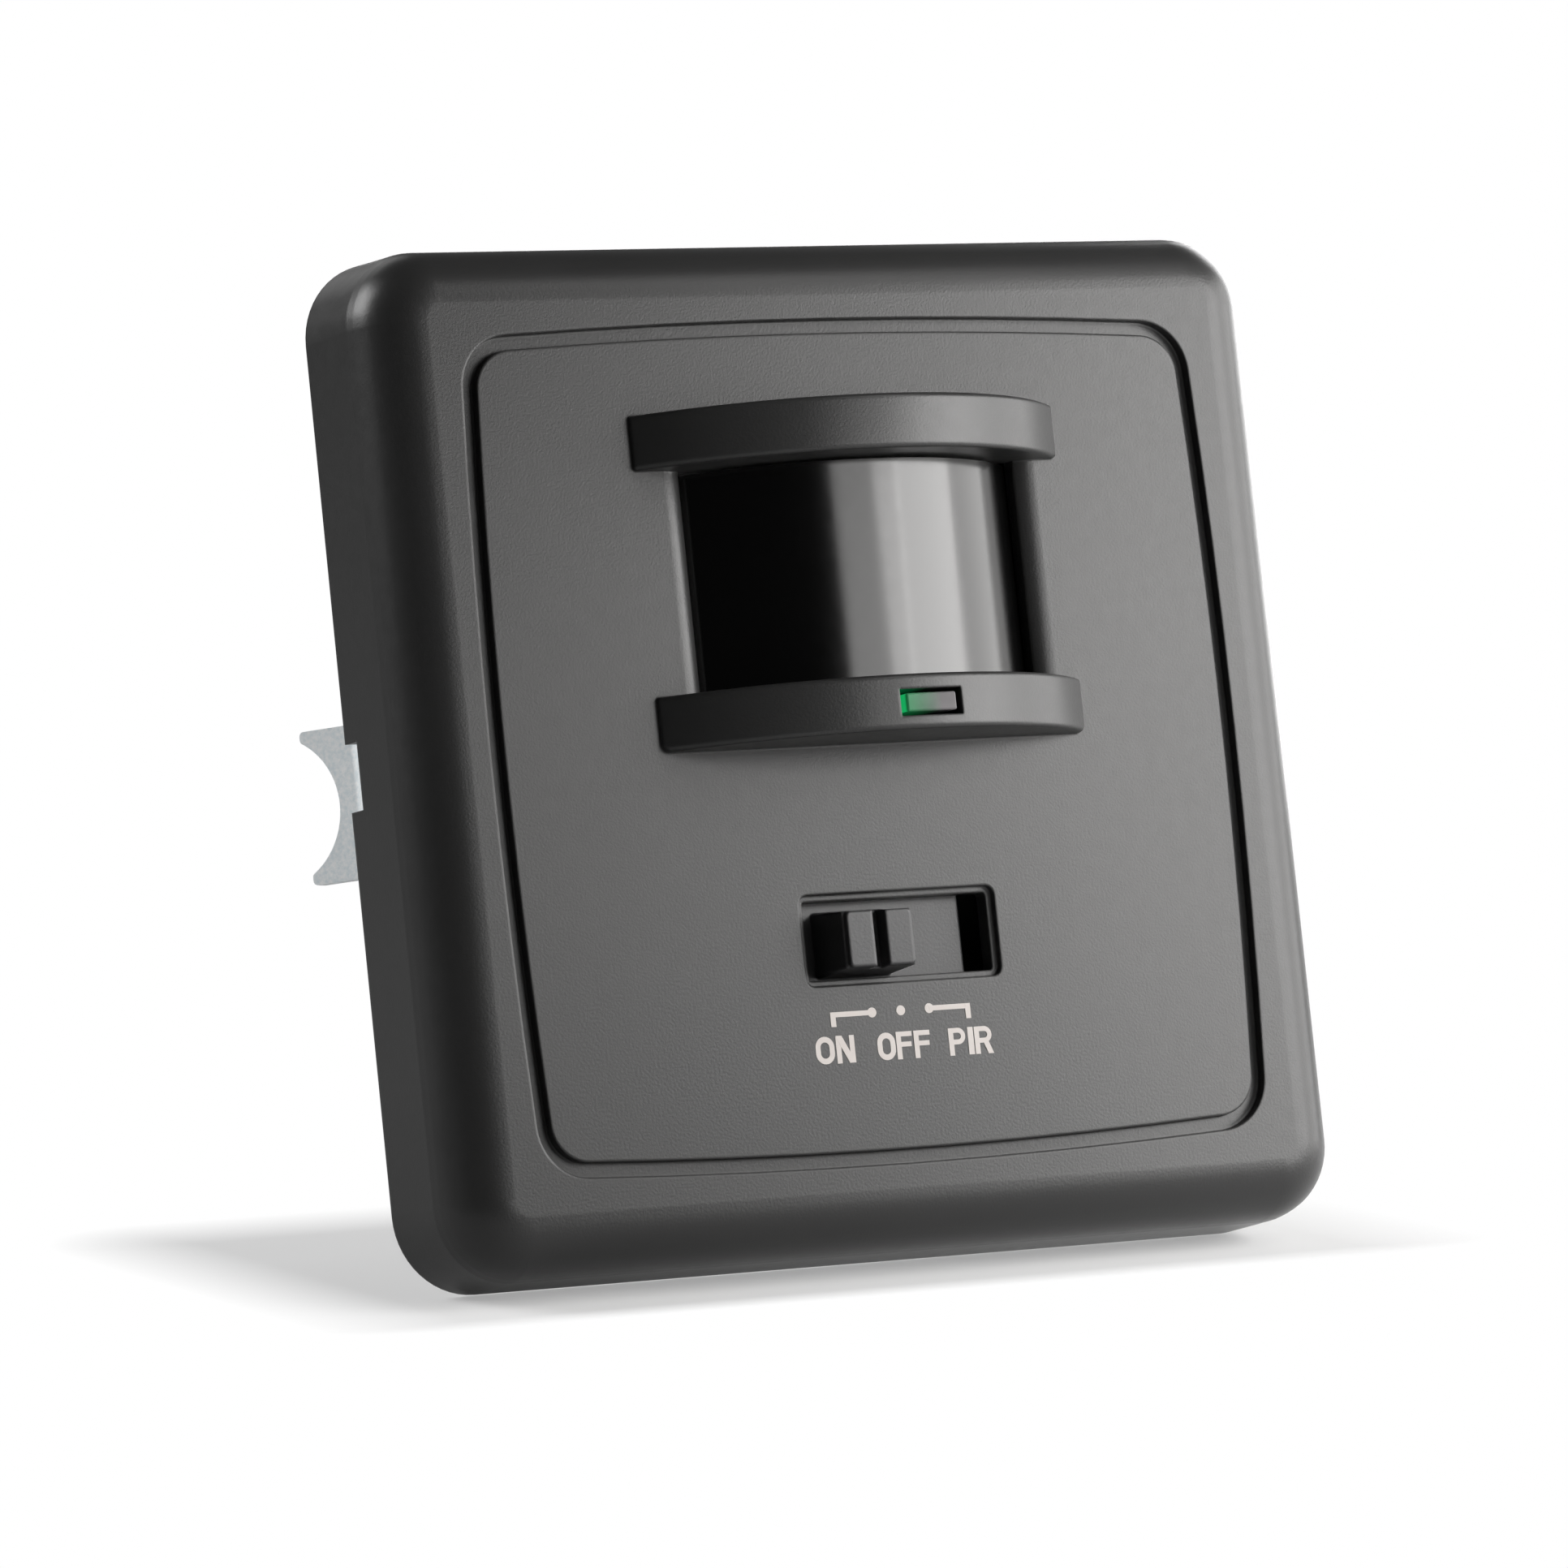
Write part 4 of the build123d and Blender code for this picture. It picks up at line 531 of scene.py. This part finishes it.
def letter_f(x0, x1):
    return [
        bar(x0, LETTER_LOW, x0 + STEM, LETTER_HIGH),
        bar(x0, LETTER_HIGH - ARM, x1, LETTER_HIGH),
        bar(x0, ARM_LOW, x1 - SHORT_ARM, ARM_LOW + ARM),
    ]


def letter_i(x0, x1):
    return [bar(x0, LETTER_LOW, x1, LETTER_HIGH)]


def bowl(x0, x1):
    """The closed loop of a P or an R."""
    z, rz = (BOWL_LOW + LETTER_HIGH) / 2, (LETTER_HIGH - BOWL_LOW) / 2
    turn = x1 - rz
    outer = [(x0, LETTER_HIGH), (x0, BOWL_LOW)] + arc(turn, z, rz, rz, -90, 90, ROUND_STEPS)
    inner = [(x0 + STEM, LETTER_HIGH - ARM), (x0 + STEM, BOWL_LOW + ARM)]
    inner += arc(turn, z, rz - ARM, rz - ARM, -90, 90, ROUND_STEPS)
    return (outer, inner)


def letter_p(x0, x1):
    return [bar(x0, LETTER_LOW, x0 + STEM, LETTER_HIGH), bowl(x0, x1)]


def letter_r(x0, x1):
    top = x0 + (x1 - x0) * LEG_TOP
    leg = slanted(x1 - LEG_FOOT, LETTER_LOW, top, BOWL_LOW + ARM / 2, LEG)
    return [bar(x0, LETTER_LOW, x0 + STEM, LETTER_HIGH), bowl(x0, x1 - SMALL_BOWL), leg]


# Where each letter starts and ends
WORDS = {
    "legend_on": [(letter_o, -7.8, -6.13), (letter_n, -5.97, -4.33)],
    "legend_off": [(letter_o, -2.3, -0.7), (letter_f, -0.6, 0.82), (letter_f, 0.98, 2.42)],
    "legend_pir": [(letter_p, 4.1, 5.6), (letter_i, 5.83, 6.33), (letter_r, 6.42, 8.02)],
}
for name, letters in WORDS.items():
    printed(name, [stroke for letter, x0, x1 in letters for stroke in letter(x0, x1)])

# One dot for each place of the knob. A line from each end dot leads down to its word
DOTS = [(-2.49, -21.37), (0.08, -21.35), (2.63, -21.33)]
DOT_RADIUS = 0.39
DOT_STEPS = 24
LINE = 0.4
DROP = 0.46
DROP_LOW = -22.31
BRACKET_LIFT = 4 * PRINT_STEP
BRACKETS = {"left": (-5.99, DOTS[0]), "right": (6.08, DOTS[2])}

last_turn = 360 - 360 / DOT_STEPS
dots = [arc(x, z, DOT_RADIUS, DOT_RADIUS, 0, last_turn, DOT_STEPS - 1) for x, z in DOTS]
printed("legend_dots", dots)
for side, (end, dot) in BRACKETS.items():
    inner, outer = sorted((end, dot[0]))
    top = dot[1] + LINE / 2
    printed(f"legend_{side}_bracket", [
        bar(inner, dot[1] - LINE / 2, outer, top),
        bar(end - DROP / 2, DROP_LOW, end + DROP / 2, top),
    ], BRACKET_LIFT)

# Floor: pale and matt. It is tilted because the switch leans back on it (places in mm)
LEAN = (0.0, -0.208, 0.978)
FOOT = -40.25
COVER_HALF = 40.0
FRONT_EDGE, BACK_EDGE = -11.0, 35.0
# Half of the floor's side, and where it turns white in the distance (in m)
FLOOR_HALF = 6.0
FAR_START, FAR_END = 0.22, 0.8
# Its grey for bounced light and for the camera, and the white that it adds for the camera
FLOOR_GREY = 0.45
FLOOR_SEEN = 0.46
FLOOR_WHITE = 0.31
# Painted light in reflections: the white that it adds there, from the left edge of the cover to the
# right, where the key lamps stand
FLOOR_MIRROR_LEFT, FLOOR_MIRROR_RIGHT = 0.08, 0.5
# Painted shadow: for the camera it goes from this share of white at the foot to white over this
# distance, and so many times sooner in front of the foot
SHADOW_NEAR = 0.04
SHADOW_REACH = 12.0
FRONT_FADE = 3.0


def floor_mesh():
    """A large square through the foot of the switch."""
    normal = Vector(LEAN).normalized()
    foot = Vector((0, 0, FOOT * MM))
    across = Vector((1, 0, 0))
    along = normal.cross(across)
    corners = [
        foot + across * a * FLOOR_HALF + along * b * FLOOR_HALF
        for a, b in ((-1, -1), (1, -1), (1, 1), (-1, 1))
    ]
    mesh = bpy.data.meshes.new("floor")
    mesh.from_pydata(corners, [], [(0, 1, 2, 3)])
    return mesh


def white_light(g, strength):
    return g.node("ShaderNodeEmission", {"Color": (1, 1, 1, 1), "Strength": strength}).outputs[0]


def foot_gap(g, x, y):
    """Distance on the floor from the foot of the switch, counted faster in front of it, for the
    painted shadow.
    """
    beside = g.math("SUBTRACT", g.math("ABSOLUTE", x), COVER_HALF * MM)
    beside = g.math("MAXIMUM", beside, 0.0)
    front = g.math("MULTIPLY", g.math("SUBTRACT", FRONT_EDGE * MM, y), FRONT_FADE)
    ahead = g.math("MAXIMUM", g.math("SUBTRACT", y, BACK_EDGE * MM), front)
    ahead = g.math("MAXIMUM", ahead, 0.0)
    beside = g.math("MULTIPLY", beside, beside)
    return g.math("SQRT", g.math("ADD", beside, g.math("MULTIPLY", ahead, ahead)))


def floor_material():
    """Grey near the foot, where it takes the cast shadow and, for the camera, a painted shadow.
    Further out the camera sees it white.
    """
    mat = new_material("floor")
    g = Graph(mat.node_tree)
    at = g.where()
    x, y, _ = g.axes(at)
    path = g.node("ShaderNodeLightPath").outputs
    camera_ray = path["Is Camera Ray"]
    seen = g.math("MAXIMUM", camera_ray, path["Is Glossy Ray"])
    seen = g.math("MAXIMUM", seen, path["Is Transmission Ray"])
    tone = g.grey(camera_ray, FLOOR_GREY, FLOOR_SEEN, 0.0, 1.0)
    base = g.node("ShaderNodeBsdfDiffuse", {"Color": tone}).outputs["BSDF"]
    # Painted light: in reflections the floor grows brighter towards the key lamps on the right
    mirrored = g.grey(x, FLOOR_MIRROR_LEFT, FLOOR_MIRROR_RIGHT, -COVER_HALF * MM, COVER_HALF * MM)
    white = g.math("MULTIPLY", seen, g.grey(camera_ray, mirrored, FLOOR_WHITE, 0.0, 1.0))
    near = g.node("ShaderNodeAddShader", {0: base, 1: white_light(g, white)}).outputs[0]
    far = white_light(g, g.grey(camera_ray, BEHIND_WHITE, 1.0, 0.0, 1.0))
    # Painted shadow for the camera, from grey at the foot to white further out
    shadow = g.grey(foot_gap(g, x, y), SHADOW_NEAR, 1.0, 0.0, SHADOW_REACH * MM)
    reach = g.node("ShaderNodeVectorMath", {0: at}, operation="LENGTH").outputs["Value"]
    distance = g.math("MULTIPLY", seen, g.grey(reach, 0.0, 1.0, FAR_START, FAR_END))
    fade = g.math("MAXIMUM", g.math("MULTIPLY", camera_ray, shadow), distance)
    surface = g.node("ShaderNodeMixShader", {"Fac": fade, 1: near, 2: far}).outputs[0]
    g.put(g.out.inputs["Surface"], surface)
    return mat


floor = link("floor", floor_mesh())
floor.data.materials.append(floor_material())

# World: white for the camera and nearly dark for other rays. Reflections see some light on the
# side behind the object, which begins and is full at these cosines from the backdrop's direction
BACKDROP = (0.486, 0.869, 0.096)
BACKDROP_START, BACKDROP_END = 0.5, 0.85


def studio():
    """The world's light, by the kind of ray and by its direction."""
    world = bpy.data.worlds.new("studio")
    world.use_nodes = True
    world.node_tree.nodes.clear()
    g = Graph(world.node_tree, "ShaderNodeOutputWorld")
    path = g.node("ShaderNodeLightPath").outputs
    ray = g.node("ShaderNodeTexCoord").outputs["Generated"]
    facing = g.node("ShaderNodeVectorMath", {0: ray, 1: BACKDROP}, operation="DOT_PRODUCT")
    behind = g.grey(facing.outputs["Value"], 0.0, BEHIND_WHITE, BACKDROP_START, BACKDROP_END)
    mirror = g.math("MAXIMUM", path["Is Glossy Ray"], path["Is Transmission Ray"])
    shine = g.math("MAXIMUM", g.math("MULTIPLY", behind, mirror), AMBIENT)
    level = g.math("MAXIMUM", shine, path["Is Camera Ray"])
    sky = g.node("ShaderNodeBackground", {"Color": (1, 1, 1, 1), "Strength": level}).outputs[0]
    g.put(g.out.inputs["Surface"], sky)
    return world


bpy.context.scene.world = studio()


# Lights
def softbox(name, azimuth, elevation, distance, width, height, power, color):
    """An area light aimed at the object. Azimuth 0 is in front, positive to the right."""
    az, el = math.radians(azimuth), math.radians(elevation)
    aim = Vector((math.sin(az) * math.cos(el), -math.cos(az) * math.cos(el), math.sin(el)))
    data = bpy.data.lights.new(name, "AREA")
    data.shape = "RECTANGLE"
    data.size = width
    data.size_y = height
    data.energy = power
    data.color = color
    obj = bpy.data.objects.new(name, data)
    obj.location = aim * distance
    obj.rotation_euler = (-aim).to_track_quat("-Z", "Y").to_euler()
    obj.visible_camera = False
    bpy.context.scene.collection.objects.link(obj)


WHITE = (1.0, 1.0, 1.0)
WARM = (1.0, 0.99, 0.98)

# Azimuth and elevation in degrees, distance, width and height in m, power in W, and colour
LAMPS = {
    "key": (50, 7, 0.3, 0.166, 0.19, 1.04, WARM),
    "key_right": (82, 8, 0.3, 0.178, 0.2, 0.49, WARM),
    "key_left": (29, 7, 0.3, 0.063, 0.06, 0.12, WARM),
    "key_edge": (13, 4, 0.3, 0.1, 0.1, 0.15, WARM),
    "key_up": (32, 38, 0.3, 0.12, 0.12, 0.13, WARM),
    "key_low": (32, -13, 0.3, 0.12, 0.04, 0.05, WARM),
    "rim": (122, 20, 0.5, 0.22, 0.28, 0.9, WHITE),
    "fill": (-120, 35, 1.0, 0.5, 0.5, 8.0, WHITE),
    "back": (180, 45, 1.0, 0.5, 0.5, 0.7, WHITE),
    "low_back": (150, 12, 0.5, 0.3, 0.15, 1.0, WHITE),
}
for name, lamp in LAMPS.items():
    softbox(name, *lamp)

# Camera, fitted to the photograph: focal length in its pixels, turns in radians and shift in mm
PHOTO_WIDTH = 1932
FOCAL = 10760.6418
SENSOR = 36.0
TURN, PITCH, ROLL = 0.507, -0.0932, -0.103
SHIFT = (1.4874, 690.8121, 2.0773)


def turn_z(v):
    return Matrix(((math.cos(v), -math.sin(v), 0), (math.sin(v), math.cos(v), 0), (0, 0, 1)))


def turn_x(v):
    return Matrix(((1, 0, 0), (0, math.cos(v), -math.sin(v)), (0, math.sin(v), math.cos(v))))


def turn_y(v):
    return Matrix(((math.cos(v), 0, math.sin(v)), (0, 1, 0), (-math.sin(v), 0, math.cos(v))))


view = turn_y(ROLL) @ turn_x(PITCH) @ turn_z(TURN)
place = -(view.transposed() @ Vector(SHIFT)) * MM
axis_x = view.transposed() @ Vector((1, 0, 0))
axis_y = view.transposed() @ Vector((0, 0, 1))
axis_z = -(view.transposed() @ Vector((0, 1, 0)))
data = bpy.data.cameras.new("camera")
data.sensor_width = SENSOR
data.lens = FOCAL / PHOTO_WIDTH * SENSOR
data.clip_start = 0.01
data.clip_end = 50
camera = bpy.data.objects.new("camera", data)
camera.matrix_world = Matrix((
    (axis_x.x, axis_y.x, axis_z.x, place.x),
    (axis_x.y, axis_y.y, axis_z.y, place.y),
    (axis_x.z, axis_y.z, axis_z.z, place.z),
    (0, 0, 0, 1),
))
bpy.context.scene.collection.objects.link(camera)
bpy.context.scene.camera = camera
bpy.context.scene.view_settings.view_transform = "Standard"
